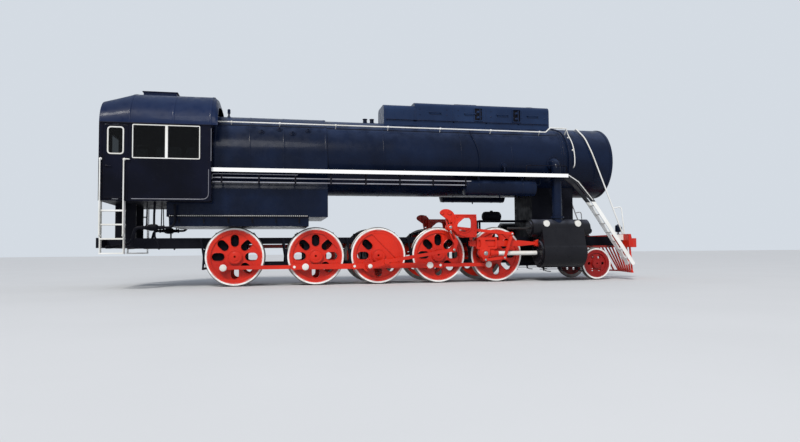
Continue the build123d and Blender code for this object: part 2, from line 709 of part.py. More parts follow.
# Drag box with the drawbar slot and pin hole, and the uprights that carry the rear of the cab
DRAG_FRONT = -6050.0
DRAG_LOW = 1000.0
REAR_BEAM_THICKNESS = 60.0
REAR_BEAM_HALF = 1300.0
DRAWBAR_PIN_R = 55.0
DRAWBAR_PIN_AHEAD = -6850.0
DRAWBAR_SLOT_HALF = 150.0
DRAWBAR_SLOT_LOW = 1090.0
DRAWBAR_SLOT_HIGH = 1180.0
DRAWBAR_SLOT_DEPTH = 350.0
UPRIGHT_NEAR = 440.0
UPRIGHT_THICKNESS = 60.0
UPRIGHT_LENGTH = 500.0
with BuildPart() as drag_box:
    with BuildSketch(Plane.XY.offset(above(DRAG_LOW))):
        with Locations((ahead((DRAG_FRONT - REAR_REACH) / 2), 0)):
            Rectangle(DRAG_FRONT + REAR_REACH, 2 * FRAME_IN)
    extrude(amount=FRAME_TOP - above(DRAG_LOW))
    with BuildSketch(Plane.YZ.offset(ahead(-REAR_REACH))):
        with Locations((0, (above(DRAG_LOW) + FRAME_TOP) / 2)):
            Rectangle(2 * REAR_BEAM_HALF, FRAME_TOP - above(DRAG_LOW))
    extrude(amount=REAR_BEAM_THICKNESS)
    for side_name, side in SIDES:
        with BuildSketch(slab(side, UPRIGHT_NEAR)):
            upright_z = (FRAME_TOP + above(CAB_LOW)) / 2
            with Locations((ahead(DRAG_FRONT) - UPRIGHT_LENGTH, upright_z)):
                Rectangle(UPRIGHT_LENGTH, above(CAB_LOW) - FRAME_TOP)
        extrude(amount=side_depth(side, UPRIGHT_THICKNESS))
    with BuildSketch(Plane.XY.offset(above(DRAG_LOW))):
        with Locations((ahead(DRAWBAR_PIN_AHEAD), 0)):
            Circle(DRAWBAR_PIN_R)
    extrude(amount=FRAME_TOP - above(DRAG_LOW), mode=Mode.SUBTRACT)
    with BuildSketch(Plane.XY.offset(above(DRAWBAR_SLOT_LOW))):
        with Locations((ahead(-REAR_REACH) + DRAWBAR_SLOT_DEPTH / 2, 0)):
            Rectangle(DRAWBAR_SLOT_DEPTH, 2 * DRAWBAR_SLOT_HALF)
    extrude(amount=DRAWBAR_SLOT_HIGH - DRAWBAR_SLOT_LOW, mode=Mode.SUBTRACT)
drag_box.part.label = "drag_box"
export_step(drag_box.part, "parts/drag_box.step")

# Brake gear: for each axle a pair of hung shoes behind the treads, and the beam between them
SHOE_FROM_FLANGE = 12.0
SHOE_NEAR = WHEEL_IN + FLANGE_WIDTH + SHOE_FROM_FLANGE
HANGER_THICKNESS = 40.0
HANGER_WIDTH = 50.0
HANGER_PIN_R = 30.0
BEAM_BELOW_AXLE = 308.0
BRAKE_BEAM_TALL = 50.0
BRAKE_BEAM_BACK = 20.0
shoe_r = DRIVER_TREAD_R + SHOE_GAP
hanger_x = shoe_r + SHOE_THICKNESS / 2
hang_up = above(HANGER_HEIGHT) - AXLE_Z
beam_back = hanger_x + BRAKE_BEAM_BACK
with BuildPart() as brake_gear:
    for distance in AXLES.values():
        hub = (ahead(distance), AXLE_Z)
        for side_name, side in SIDES:
            with BuildSketch(slab(side, SHOE_NEAR)):
                with BuildLine():
                    Line(around(hub, shoe_r, 180 - SHOE_HALF_ANGLE),
                         around(hub, shoe_r + SHOE_THICKNESS, 180 - SHOE_HALF_ANGLE))
                    ThreePointArc(around(hub, shoe_r + SHOE_THICKNESS, 180 - SHOE_HALF_ANGLE),
                                  around(hub, shoe_r + SHOE_THICKNESS, 180),
                                  around(hub, shoe_r + SHOE_THICKNESS, 180 + SHOE_HALF_ANGLE))
                    Line(around(hub, shoe_r + SHOE_THICKNESS, 180 + SHOE_HALF_ANGLE),
                         around(hub, shoe_r, 180 + SHOE_HALF_ANGLE))
                    ThreePointArc(around(hub, shoe_r, 180 + SHOE_HALF_ANGLE),
                                  around(hub, shoe_r, 180),
                                  around(hub, shoe_r, 180 - SHOE_HALF_ANGLE))
                make_face()
            extrude(amount=side_depth(side, SHOE_WIDTH))
            with BuildSketch(slab(side, SHOE_NEAR)):
                for half in (
                    between((-HANGER_BEHIND, hang_up), (-hanger_x, 0)),
                    between((-hanger_x, 0), (-beam_back, -BEAM_BELOW_AXLE)),
                ):
                    middle, length, angle = half
                    place = (hub[0] + middle[0], hub[1] + middle[1], 0)
                    with Locations(Location(place, (0, 0, angle))):
                        SlotCenterToCenter(length, HANGER_WIDTH)
            extrude(amount=side_depth(side, HANGER_THICKNESS))
            with BuildSketch(slab(side, FRAME_OUT)):
                with Locations((hub[0] - HANGER_BEHIND, hub[1] + hang_up)):
                    Circle(HANGER_PIN_R)
            extrude(amount=side_depth(side, SHOE_NEAR + HANGER_THICKNESS - FRAME_OUT))
        with BuildSketch(Plane.XZ):
            with Locations((hub[0] - beam_back, hub[1] - BEAM_BELOW_AXLE)):
                Rectangle(BRAKE_BEAM_TALL, BRAKE_BEAM_TALL)
        extrude(amount=SHOE_NEAR + HANGER_THICKNESS, both=True)
brake_gear.part.label = "brake_gear"
export_step(brake_gear.part, "parts/brake_gear.step")


def firebox_points(gap):
    """Right and left flanks of the firebox in the cross section, from the foot to the crown arc."""
    low = above(FIREBOX_LOW) - gap
    flank = (
        (FIREBOX_LOW_HALF + gap, low),
        (FIREBOX_LOW_HALF + gap, above(FIREBOX_FLARE_LOW)),
        (FIREBOX_R + gap, above(FIREBOX_FLARE_HIGH)),
        (FIREBOX_R + gap, BOILER_Z),
    )
    return flank, [(-across, up) for across, up in flank]


# Firebox with its round crown and flared foot, through the cab's front wall and on under its floor
with BuildPart() as firebox:
    left_flank, right_flank = firebox_points(0)
    with BuildSketch(Plane.YZ.offset(ahead(BACKHEAD))):
        with BuildLine():
            Polyline(*left_flank)
            ThreePointArc(left_flank[-1], (0, BOILER_Z + FIREBOX_R), right_flank[-1])
            Polyline(*reversed(right_flank))
            Line(right_flank[0], left_flank[0])
        make_face()
    extrude(amount=FIREBOX_FRONT - BACKHEAD)
    with BuildSketch(Plane.YZ.offset(ahead(FIREBOX_FOOT_REAR))):
        foot_high = above(CAB_LOW) - SEAT
        with Locations((0, (above(FIREBOX_LOW) + foot_high) / 2)):
            Rectangle(2 * FIREBOX_LOW_HALF, foot_high - above(FIREBOX_LOW))
    extrude(amount=BACKHEAD - FIREBOX_FOOT_REAR)
firebox.part.label = "firebox"
export_step(firebox.part, "parts/firebox.step")

# Ash pan under the firebox, over the flanges of the last two axles
ASH_PAN_TAPER = 60.0
with BuildPart() as ash_pan:
    with BuildSketch(Plane.YZ.offset(ahead(ASH_PAN_REAR))):
        Polygon(
            (-ASH_PAN_HALF, above(FIREBOX_LOW)),
            (ASH_PAN_HALF, above(FIREBOX_LOW)),
            (ASH_PAN_HALF - ASH_PAN_TAPER, above(ASH_PAN_LOW)),
            (ASH_PAN_TAPER - ASH_PAN_HALF, above(ASH_PAN_LOW)),
            align=None,
        )
    extrude(amount=ASH_PAN_FRONT - ASH_PAN_REAR)
ash_pan.part.label = "ash_pan"
export_step(ash_pan.part, "parts/ash_pan.step")

# Boiler barrel
with BuildPart() as boiler_barrel:
    with BuildSketch(Plane.YZ.offset(ahead(FIREBOX_FRONT))):
        with Locations((0, BOILER_Z)):
            Circle(BARREL_R)
    extrude(amount=BARREL_FRONT - FIREBOX_FRONT)
boiler_barrel.part.label = "boiler_barrel"
export_step(boiler_barrel.part, "parts/boiler_barrel.step")

# Smokebox, hollow behind its door, with the lugs and pins of the door's hinges
SMOKEBOX_MOUTH_R = 700.0
SMOKEBOX_DEPTH = 1100.0
HINGE_ACROSS = 835.0
HINGE_OUT = 50.0
HINGE_PIN_R = 16.0
HINGE_EYE_R = 34.0
HINGE_SPREAD = 330.0
STRAP_TALL = 70.0
STRAP_THICKNESS = 20.0
LUG_TALL = 40.0
DOOR_SEAT = 2.0
hinge_x = ahead(SMOKEBOX_FRONT) + HINGE_OUT
with BuildPart() as smokebox:
    with BuildSketch(Plane.YZ.offset(ahead(BARREL_FRONT))):
        with Locations((0, BOILER_Z)):
            Circle(SMOKEBOX_R)
    extrude(amount=SMOKEBOX_FRONT - BARREL_FRONT)
    with BuildSketch(Plane.YZ.offset(ahead(SMOKEBOX_FRONT))):
        with Locations((0, BOILER_Z)):
            Circle(SMOKEBOX_MOUTH_R)
    extrude(amount=-SMOKEBOX_DEPTH, mode=Mode.SUBTRACT)
    for level in (-HINGE_SPREAD, HINGE_SPREAD):
        for lug in (-STRAP_TALL / 2 - PIN_PLAY - LUG_TALL, STRAP_TALL / 2 + PIN_PLAY):
            with BuildSketch(Plane.XY.offset(BOILER_Z + level + lug)):
                with Locations((hinge_x - HINGE_OUT / 2, HINGE_ACROSS)):
                    Rectangle(HINGE_OUT, 2 * HINGE_EYE_R)
                with Locations((hinge_x, HINGE_ACROSS)):
                    Circle(HINGE_EYE_R)
            extrude(amount=LUG_TALL)
        with BuildSketch(Plane.XY.offset(BOILER_Z + level - STRAP_TALL / 2 - LUG_TALL)):
            with Locations((hinge_x, HINGE_ACROSS)):
                Circle(HINGE_PIN_R)
        extrude(amount=STRAP_TALL + 2 * LUG_TALL)
smokebox.part.label = "smokebox"
export_step(smokebox.part, "parts/smokebox.step")

# Smokebox door with its two straps
DOOR_EDGE = 20.0
with BuildPart() as smokebox_door:
    with BuildSketch(Plane.YZ.offset(ahead(SMOKEBOX_FRONT) + DOOR_SEAT)):
        with Locations((0, BOILER_Z)):
            Circle(SMOKEBOX_DOOR_R)
    extrude(amount=SMOKEBOX_DOOR_THICKNESS)
    chamfer(smokebox_door.edges().group_by(Axis.X)[-1], DOOR_EDGE)
    strap_x = hinge_x + STRAP_THICKNESS / 2
    for level in (-HINGE_SPREAD, HINGE_SPREAD):
        with BuildSketch(Plane.XY.offset(BOILER_Z + level - STRAP_TALL / 2)):
            with Locations((strap_x, HINGE_ACROSS / 2 - SMOKEBOX_DOOR_R / 4)):
                Rectangle(STRAP_THICKNESS, HINGE_ACROSS + SMOKEBOX_DOOR_R / 2)
            with Locations((hinge_x, HINGE_ACROSS)):
                Circle(HINGE_EYE_R)
                Circle(HINGE_PIN_R + PIN_PLAY, mode=Mode.SUBTRACT)
        extrude(amount=STRAP_TALL)
smokebox_door.part.label = "smokebox_door"
export_step(smokebox_door.part, "parts/smokebox_door.step")

# Headlamp on the door
LAMP_UP = 480.0
LAMP_R = 160.0
LAMP_DEPTH = 190.0
with BuildPart() as headlamp:
    lamp_x = ahead(SMOKEBOX_FRONT) + DOOR_SEAT + SMOKEBOX_DOOR_THICKNESS
    with BuildSketch(Plane.YZ.offset(lamp_x)):
        with Locations((0, BOILER_Z + LAMP_UP)):
            Circle(LAMP_R / 2)
    extrude(amount=LAMP_DEPTH / 3)
    with BuildSketch(Plane.YZ.offset(lamp_x + LAMP_DEPTH / 3)):
        with Locations((0, BOILER_Z + LAMP_UP)):
            Circle(LAMP_R)
    extrude(amount=LAMP_DEPTH * 2 / 3)
headlamp.part.label = "headlamp"
export_step(headlamp.part, "parts/headlamp.step")

# Saddle between the frame and the smokebox, its top hollowed to the shell it carries
SADDLE_REAR = 4600.0
SADDLE_FRONT = 5900.0
SADDLE_TOP = 2750.0
with BuildPart() as smokebox_saddle:
    with BuildSketch(Plane.YZ.offset(ahead(SADDLE_REAR))):
        with Locations((0, (FRAME_TOP + above(SADDLE_TOP)) / 2)):
            Rectangle(2 * FRAME_OUT, above(SADDLE_TOP) - FRAME_TOP)
    extrude(amount=SADDLE_FRONT - SADDLE_REAR)
    for start, end, shell_r in (
        (SADDLE_REAR, BARREL_FRONT, BARREL_R),
        (BARREL_FRONT, SADDLE_FRONT, SMOKEBOX_R),
    ):
        with BuildSketch(Plane.YZ.offset(ahead(start))):
            with Locations((0, BOILER_Z)):
                Circle(shell_r + SEAT)
        extrude(amount=end - start, mode=Mode.SUBTRACT)
smokebox_saddle.part.label = "smokebox_saddle"
export_step(smokebox_saddle.part, "parts/smokebox_saddle.step")

# Casing along the top of the boiler, lower at its rear, with the sand hatch and the chimney's mouth
CASING_FOOT = 900.0
CHIMNEY_DEPTH = 350.0
CHIMNEY_RING = 25.0
with BuildPart() as top_casing:
    for start, end, drop in (
        (CASING_REAR, CASING_STEP, CASING_REAR_DROP),
        (CASING_STEP, CASING_FRONT, 0),
    ):
        top = above(CASING_TOP) - drop
        low = BOILER_Z + CASING_FOOT
        with BuildSketch(Plane.YZ.offset(ahead(start))) as casing_section:
            with Locations((0, (top + low) / 2)):
                Rectangle(2 * CASING_HALF, top - low)
            fillet(casing_section.vertices().group_by(Axis.Y)[-1], CASING_CORNER)
        extrude(amount=end - start)
    with BuildSketch(Plane.YZ.offset(ahead(CASING_REAR))):
        with Locations((0, BOILER_Z)):
            Circle(BARREL_R + SEAT)
    extrude(amount=CASING_FRONT - CASING_REAR, mode=Mode.SUBTRACT)
    with BuildSketch(Plane.XY.offset(above(CASING_TOP))):
        with Locations((ahead(CHIMNEY_AHEAD), 0)):
            Circle(CHIMNEY_R)
    extrude(amount=-CHIMNEY_DEPTH, mode=Mode.SUBTRACT)
    with BuildSketch(Plane.XY.offset(above(CASING_TOP) - CHIMNEY_RING)):
        with Locations((ahead(CHIMNEY_AHEAD), 0)):
            Circle(CHIMNEY_R + CHIMNEY_RING)
            Circle(CHIMNEY_R, mode=Mode.SUBTRACT)
    extrude(amount=2 * CHIMNEY_RING)
    with BuildSketch(Plane.XY.offset(above(CASING_TOP))):
        with Locations((ahead(HATCH_AHEAD), 0)):
            RectangleRounded(HATCH_LENGTH, 2 * HATCH_HALF, HATCH_RISE)
    extrude(amount=HATCH_RISE)
top_casing.part.label = "top_casing"
export_step(top_casing.part, "parts/top_casing.step")

# Cylinders with their valve chests, end covers and glands
GLAND_R = 110.0
GLAND_LENGTH = 30.0
CHEST_COVER_R = 190.0
gland_x = ahead(CYLINDER_REAR - COVER_THICKNESS) - GLAND_LENGTH
with BuildPart() as cylinders:
    for side_name, side in SIDES:
        across = side * CYLINDER_Y
        valve_z = above(VALVE_HEIGHT)
        # Cylinder pieces: rear end, front end, height of the centre, radius
        for start, end, height, radius in (
            (CYLINDER_REAR, CYLINDER_FRONT, CYLINDER_Z, CYLINDER_R),
            (VALVE_REAR, VALVE_FRONT, valve_z, VALVE_R),
            (CYLINDER_REAR - COVER_THICKNESS, CYLINDER_REAR, CYLINDER_Z, COVER_R),
            (CYLINDER_FRONT, CYLINDER_FRONT + COVER_THICKNESS, CYLINDER_Z, COVER_R),
            (VALVE_REAR - COVER_THICKNESS, VALVE_REAR, valve_z, CHEST_COVER_R),
            (VALVE_FRONT, VALVE_FRONT + COVER_THICKNESS, valve_z, CHEST_COVER_R),
            (CYLINDER_REAR - COVER_THICKNESS - GLAND_LENGTH,
             CYLINDER_REAR - COVER_THICKNESS, CYLINDER_Z, GLAND_R),
        ):
            with BuildSketch(Plane.YZ.offset(ahead(start))):
                with Locations((across, height)):
                    Circle(radius)
            extrude(amount=end - start)
        with BuildSketch(Plane.YZ.offset(ahead(CYLINDER_REAR))):
            Polygon(
                (side * FRAME_OUT, FRAME_END_LOW),
                (side * FRAME_OUT, valve_z + VALVE_R / 2),
                (across, valve_z + VALVE_R / 2),
                (across + side * VALVE_R, valve_z),
                (across + side * CYLINDER_R, CYLINDER_Z),
                (across, CYLINDER_Z),
                align=None,
            )
        extrude(amount=CYLINDER_FRONT - CYLINDER_REAR)
cylinders.part.label = "cylinders"
export_step(cylinders.part, "parts/cylinders.step")

# Steam pipes: a flange on the smokebox side, an elbow and an upright down to the valve chest
PIPE_BEND = 200.0
PIPE_OUT = 1215.0
PIPE_START = 880.0
PIPE_FLANGE_R = 210.0
PIPE_FLANGE_OUT = 1070.0
pipe_x = ahead(STEAM_PIPE_AHEAD)
pipe_top = above(STEAM_PIPE_TOP)
valve_z = above(VALVE_HEIGHT)
with BuildPart() as steam_pipes:
    for side_name, side in SIDES:
        for radius, far in ((STEAM_PIPE_R, PIPE_OUT - PIPE_BEND), (PIPE_FLANGE_R, PIPE_FLANGE_OUT)):
            with BuildSketch(slab(side, PIPE_START)):
                with Locations((pipe_x, pipe_top)):
                    Circle(radius)
            extrude(amount=side_depth(side, far - PIPE_START))
        elbow_y = side * (PIPE_OUT - PIPE_BEND)
        with BuildSketch(slab(side, PIPE_OUT - PIPE_BEND)):
            with Locations((pipe_x, pipe_top)):
                Circle(STEAM_PIPE_R)
        elbow_axis = Axis((pipe_x, elbow_y, pipe_top - PIPE_BEND), (-side, 0, 0))
        revolve(axis=elbow_axis, revolution_arc=90)
        with BuildSketch(Plane.XY.offset(valve_z)):
            with Locations((pipe_x, side * PIPE_OUT)):
                Circle(STEAM_PIPE_R)
        extrude(amount=pipe_top - PIPE_BEND - valve_z)
    with BuildSketch(Plane.YZ.offset(pipe_x - 2 * PIPE_FLANGE_R)):
        with Locations((0, BOILER_Z)):
            Circle(BARREL_R + SEAT)
        for side_name, side in SIDES:
            with Locations((side * CYLINDER_Y, valve_z)):
                Circle(VALVE_R + SEAT)
    extrude(amount=4 * PIPE_FLANGE_R, mode=Mode.SUBTRACT)
steam_pipes.part.label = "steam_pipes"
export_step(steam_pipes.part, "parts/steam_pipes.step")



def spot(point):
    """A point of the side view, given ahead of the main axle and above the rail."""
    return (ahead(point[0]), above(point[1]))


# Guide bars between the cylinder covers and the motion brackets
GUIDE_FRONT = CYLINDER_REAR - COVER_THICKNESS
with BuildPart() as guide_bars:
    for side_name, side in SIDES:
        with BuildSketch(slab(side, CYLINDER_Y - GUIDE_HALF_WIDTH)):
            with Locations((ahead((GUIDE_REAR + GUIDE_FRONT) / 2), above((GUIDE_LOW + GUIDE_HIGH) / 2))):
                Rectangle(GUIDE_FRONT - GUIDE_REAR, GUIDE_HIGH - GUIDE_LOW)
        extrude(amount=side_depth(side, 2 * GUIDE_HALF_WIDTH))
guide_bars.part.label = "guide_bars"
export_step(guide_bars.part, "parts/guide_bars.step")

# Crossheads around the guide bars, with gudgeon, piston rod and the pin of the union link
CROSSHEAD_FOOT = 560.0
CROSSHEAD_FOOT_HALF = 90.0
CROSSHEAD_WAIST = 130.0
UNION_PIN_R = 25.0
LINK_GAP = 5.0
CROSSHEAD_TAPER = 40.0
PISTON_ROD_SUNK = 60.0
UNION_IN = CYLINDER_Y + CROSSHEAD_HALF + LINK_GAP
UNION_THICKNESS = 28.0
LEVER_IN = UNION_IN + UNION_THICKNESS + LINK_GAP
LEVER_THICKNESS = 26.0
with BuildPart() as crossheads:
    for side_name, side in SIDES:
        with BuildSketch(slab(side, CYLINDER_Y - CROSSHEAD_HALF)):
            Polygon(
                spot((CROSSHEAD_REAR, CROSSHEAD_HIGH)),
                spot((CROSSHEAD_FRONT, CROSSHEAD_HIGH)),
                spot((CROSSHEAD_FRONT, GUIDE_LOW)),
                spot((CROSSHEAD_FRONT - CROSSHEAD_TAPER, CYLINDER_HEIGHT - CROSSHEAD_WAIST)),
                spot((UNION_REAR[0] + CROSSHEAD_FOOT_HALF, CROSSHEAD_FOOT)),
                spot((UNION_REAR[0] - CROSSHEAD_FOOT_HALF, CROSSHEAD_FOOT)),
                spot((CROSSHEAD_REAR + CROSSHEAD_TAPER, CYLINDER_HEIGHT - CROSSHEAD_WAIST)),
                spot((CROSSHEAD_REAR, GUIDE_LOW)),
                align=None,
            )
        extrude(amount=side_depth(side, 2 * CROSSHEAD_HALF))
        with BuildSketch(slab(side, CYLINDER_Y - GUIDE_HALF_WIDTH - SEAT)):
            guide_middle = (ahead((CROSSHEAD_REAR + CROSSHEAD_FRONT) / 2),
                            above((GUIDE_LOW + GUIDE_HIGH) / 2))
            with Locations(guide_middle):
                Rectangle(2 * (CROSSHEAD_FRONT - CROSSHEAD_REAR), GUIDE_HIGH - GUIDE_LOW + 2 * SEAT)
        extrude(amount=side_depth(side, 2 * (GUIDE_HALF_WIDTH + SEAT)), mode=Mode.SUBTRACT)
        with BuildSketch(slab(side, CYLINDER_Y - CROSSHEAD_HALF - GUDGEON_PROUD)):
            with Locations((ahead(GUDGEON_AHEAD), CYLINDER_Z)):
                Circle(GUDGEON_R)
        extrude(amount=side_depth(side, 2 * (CROSSHEAD_HALF + GUDGEON_PROUD)))
        with BuildSketch(Plane.YZ.offset(ahead(CROSSHEAD_FRONT) - PISTON_ROD_SUNK)):
            with Locations((side * CYLINDER_Y, CYLINDER_Z)):
                Circle(PISTON_ROD_R)
        extrude(amount=gland_x - SEAT - ahead(CROSSHEAD_FRONT) + PISTON_ROD_SUNK)
        with BuildSketch(slab(side, CYLINDER_Y + CROSSHEAD_HALF)):
            with Locations(spot(UNION_REAR)):
                Circle(UNION_PIN_R)
        extrude(amount=side_depth(side, UNION_THICKNESS + LINK_GAP))
crossheads.part.label = "crossheads"
export_step(crossheads.part, "parts/crossheads.step")

# Motion brackets: two plates with a D-shaped window, on an arm that stands on the frame
BRACKET_RIM = 90.0
SPACER_LENGTH = 260.0
SPACER_TALL = 60.0
BRACKET_CURVE_R = 380.0
ARM_TALL = 190.0
TRUNNION = (1900.0, 1500.0)
TRUNNION_R = 40.0
TRUNNION_BOSS = 50.0
with BuildPart() as motion_brackets:
    for side_name, side in SIDES:
        for near in (BRACKET_IN, BRACKET_OUT):
            with BuildSketch(slab(side, near)):
                for rim, mode in ((0, Mode.ADD), (BRACKET_RIM, Mode.SUBTRACT)):
                    rear = BRACKET_REAR + rim
                    low = BRACKET_LOW + rim
                    high = BRACKET_HIGH - rim
                    curve_r = BRACKET_CURVE_R - rim
                    curve_centre = spot((rear + curve_r, low + curve_r))
                    with BuildLine():
                        Line(spot((rear, low + curve_r)), spot((rear, high)))
                        Line(spot((rear, high)), spot((BRACKET_FRONT - rim, high)))
                        Line(spot((BRACKET_FRONT - rim, high)), spot((BRACKET_FRONT - rim, low)))
                        Line(spot((BRACKET_FRONT - rim, low)), spot((rear + curve_r, low)))
                        ThreePointArc(spot((rear + curve_r, low)),
                                      around(curve_centre, curve_r, 225),
                                      spot((rear, low + curve_r)))
                    make_face(mode=mode)
                with Locations(spot(TRUNNION)):
                    Circle(TRUNNION_R + TRUNNION_BOSS)
                    Circle(TRUNNION_R + SEAT, mode=Mode.SUBTRACT)
            extrude(amount=side_depth(side, BRACKET_PLATE))
        with BuildSketch(slab(side, BRACKET_IN)):
            with Locations(spot((BRACKET_FRONT - SPACER_LENGTH / 2, BRACKET_HIGH - SPACER_TALL / 2))):
                Rectangle(SPACER_LENGTH, SPACER_TALL)
        extrude(amount=side_depth(side, BRACKET_OUT + BRACKET_PLATE - BRACKET_IN))
        with BuildSketch(slab(side, FRAME_IN)):
            with Locations((ahead((ARM_REAR + ARM_FRONT) / 2), FRAME_TOP + ARM_TALL / 2)):
                Rectangle(ARM_FRONT - ARM_REAR, ARM_TALL)
        extrude(amount=side_depth(side, BRACKET_IN - FRAME_IN))
        with BuildSketch(slab(side, BRACKET_IN)):
            foot_high = BRACKET_LOW + BRACKET_RIM
            with Locations(spot((BRACKET_FRONT - BRACKET_RIM, (GUIDE_HIGH + foot_high) / 2))):
                Rectangle(BRACKET_RIM, foot_high - GUIDE_HIGH)
        extrude(amount=side_depth(side, BRACKET_PLATE))
motion_brackets.part.label = "motion_brackets"
export_step(motion_brackets.part, "parts/motion_brackets.step")

# Expansion links: curved, slotted, swung on a trunnion, with the foot that takes the eccentric rod
LINK_R = 1650.0
LINK_WIDTH = 130.0
LINK_SLOT = 56.0
LINK_HALF_ANGLE = 16.5
LINK_SLOT_HALF_ANGLE = 12.5
LINK_TILT = 15.0
LINK_IN = 1268.0
LINK_OUT = LINK_IN + LINK_THICKNESS
FOOT_WIDTH = 90.0
FOOT_PIN_R = 30.0
ECCENTRIC_IN = 1225.0
ECCENTRIC_THICKNESS = 36.0
link_centre = around(spot(TRUNNION), LINK_R, LINK_TILT)
link_middle = 180 + LINK_TILT
foot = spot(LINK_FOOT)
with BuildPart() as expansion_links:
    for side_name, side in SIDES:
        with BuildSketch(slab(side, LINK_IN)):
            for half_angle, width, mode in (
                (LINK_HALF_ANGLE, LINK_WIDTH, Mode.ADD),
                (LINK_SLOT_HALF_ANGLE, LINK_SLOT, Mode.SUBTRACT),
            ):
                if mode == Mode.SUBTRACT:
                    middle, length, angle = between(
                        around(link_centre, LINK_R, link_middle + LINK_HALF_ANGLE), foot
                    )
                    with Locations(Location((*middle, 0), (0, 0, angle))):
                        SlotCenterToCenter(length, FOOT_WIDTH)
                with BuildLine():
                    inner = LINK_R - width / 2
                    outer = LINK_R + width / 2
                    high = link_middle - half_angle
                    low = link_middle + half_angle
                    ThreePointArc(around(link_centre, inner, high),
                                  around(link_centre, inner, link_middle),
                                  around(link_centre, inner, low))
                    Line(around(link_centre, inner, low), around(link_centre, outer, low))
                    ThreePointArc(around(link_centre, outer, low),
                                  around(link_centre, outer, link_middle),
                                  around(link_centre, outer, high))
                    Line(around(link_centre, outer, high), around(link_centre, inner, high))
                make_face(mode=mode)
        extrude(amount=side_depth(side, LINK_THICKNESS))
        with BuildSketch(slab(side, ECCENTRIC_IN)):
            with Locations(foot):
                Circle(FOOT_PIN_R)
        extrude(amount=side_depth(side, LINK_OUT - ECCENTRIC_IN))
        for near, far in ((BRACKET_IN, LINK_IN), (LINK_OUT, BRACKET_OUT + BRACKET_PLATE)):
            with BuildSketch(slab(side, near)):
                with Locations(spot(TRUNNION)):
                    Circle(TRUNNION_R)
            extrude(amount=side_depth(side, far - near))
expansion_links.part.label = "expansion_links"
export_step(expansion_links.part, "parts/expansion_links.step")

# Eccentric rods from the return cranks to the feet of the links, open at the return crank
with BuildPart() as eccentric_rods:
    for side_name, side in SIDES:
        return_angle = CRANK_ANGLE[side_name] + RETURN_CRANK_LEAD
        crank_end = around((ahead(AXLES[3]), AXLE_Z), RETURN_CRANK_R, return_angle)
        middle, length, angle = between(crank_end, foot)
        with BuildSketch(slab(side, ECCENTRIC_IN)):
            with Locations(Location((*middle, 0), (0, 0, angle))):
                Rectangle(length, ECCENTRIC_DEPTH)
            with Locations(crank_end, foot):
                Circle(ECCENTRIC_EYE_R)
            with Locations(foot):
                Circle(FOOT_PIN_R + SEAT, mode=Mode.SUBTRACT)
        extrude(amount=side_depth(side, ECCENTRIC_THICKNESS))
eccentric_rods.part.label = "eccentric_rods"
export_step(eccentric_rods.part, "parts/eccentric_rods.step")

# Union links from the crossheads to the lower ends of the combination levers
LEVER_EYE_R = 55.0
LEVER_PIN_R = 22.0
RADIUS_IN = LEVER_IN + LEVER_THICKNESS + LINK_GAP
RADIUS_THICKNESS = 20.0
with BuildPart() as union_links:
    for side_name, side in SIDES:
        middle, length, angle = between(spot(UNION_REAR), spot(LEVER_LOW))
        with BuildSketch(slab(side, UNION_IN)):
            with Locations(Location((*middle, 0), (0, 0, angle))):
                SlotCenterToCenter(length, LEVER_WIDTH)
            with Locations(spot(UNION_REAR)):
                Circle(UNION_PIN_R + SEAT, mode=Mode.SUBTRACT)
        extrude(amount=side_depth(side, UNION_THICKNESS))
        with BuildSketch(slab(side, UNION_IN + UNION_THICKNESS)):
            with Locations(spot(LEVER_LOW)):
                Circle(LEVER_PIN_R)
        extrude(amount=side_depth(side, LEVER_THICKNESS + LINK_GAP))
union_links.part.label = "union_links"
export_step(union_links.part, "parts/union_links.step")

# Combination levers, with the pin and knob of the radius rod at their heads
with BuildPart() as combination_levers:
    for side_name, side in SIDES:
        middle, length, angle = between(spot(LEVER_LOW), spot(LEVER_TOP))
        with BuildSketch(slab(side, LEVER_IN)):
            with Locations(Location((*middle, 0), (0, 0, angle))):
                Rectangle(length, LEVER_WIDTH)
            with Locations(spot(LEVER_LOW), spot(LEVER_TOP)):
                Circle(LEVER_EYE_R)
            with Locations(spot(LEVER_LOW)):
                Circle(LEVER_PIN_R + SEAT, mode=Mode.SUBTRACT)
        extrude(amount=side_depth(side, LEVER_THICKNESS))
        with BuildSketch(slab(side, LEVER_IN + LEVER_THICKNESS)):
            with Locations(spot(LEVER_TOP)):
                Circle(LEVER_PIN_R)
        extrude(amount=side_depth(side, RADIUS_THICKNESS + LINK_GAP))
combination_levers.part.label = "combination_levers"
export_step(combination_levers.part, "parts/combination_levers.step")

# Radius rods from the links' trunnions to the heads of the levers
SPINDLE_R = 35.0
spindle_end = ahead(VALVE_REAR - COVER_THICKNESS) - SEAT
with BuildPart() as radius_rods:
    for side_name, side in SIDES:
        middle, length, angle = between(spot(TRUNNION), spot(LEVER_TOP))
        with BuildSketch(slab(side, RADIUS_IN)):
            with Locations(Location((*middle, 0), (0, 0, angle))):
                SlotCenterToCenter(length, LEVER_WIDTH)
            with Locations(spot(TRUNNION)):
                Circle(TRUNNION_R + SEAT, mode=Mode.SUBTRACT)
            with Locations(spot(LEVER_TOP)):
                Circle(LEVER_PIN_R + SEAT, mode=Mode.SUBTRACT)
        extrude(amount=side_depth(side, RADIUS_THICKNESS))
radius_rods.part.label = "radius_rods"
export_step(radius_rods.part, "parts/radius_rods.step")

# Valve spindles from the chests, each with its guide fork behind the lever head
SPINDLE_REACH = 3640.0
with BuildPart() as valve_spindles:
    for side_name, side in SIDES:
        with BuildSketch(Plane.YZ.offset(ahead(SPINDLE_REACH))):
            with Locations((side * CYLINDER_Y, above(VALVE_HEIGHT))):
                Circle(SPINDLE_R)
        extrude(amount=spindle_end + SEAT - ahead(SPINDLE_REACH))
valve_spindles.part.label = "valve_spindles"
export_step(valve_spindles.part, "parts/valve_spindles.step")

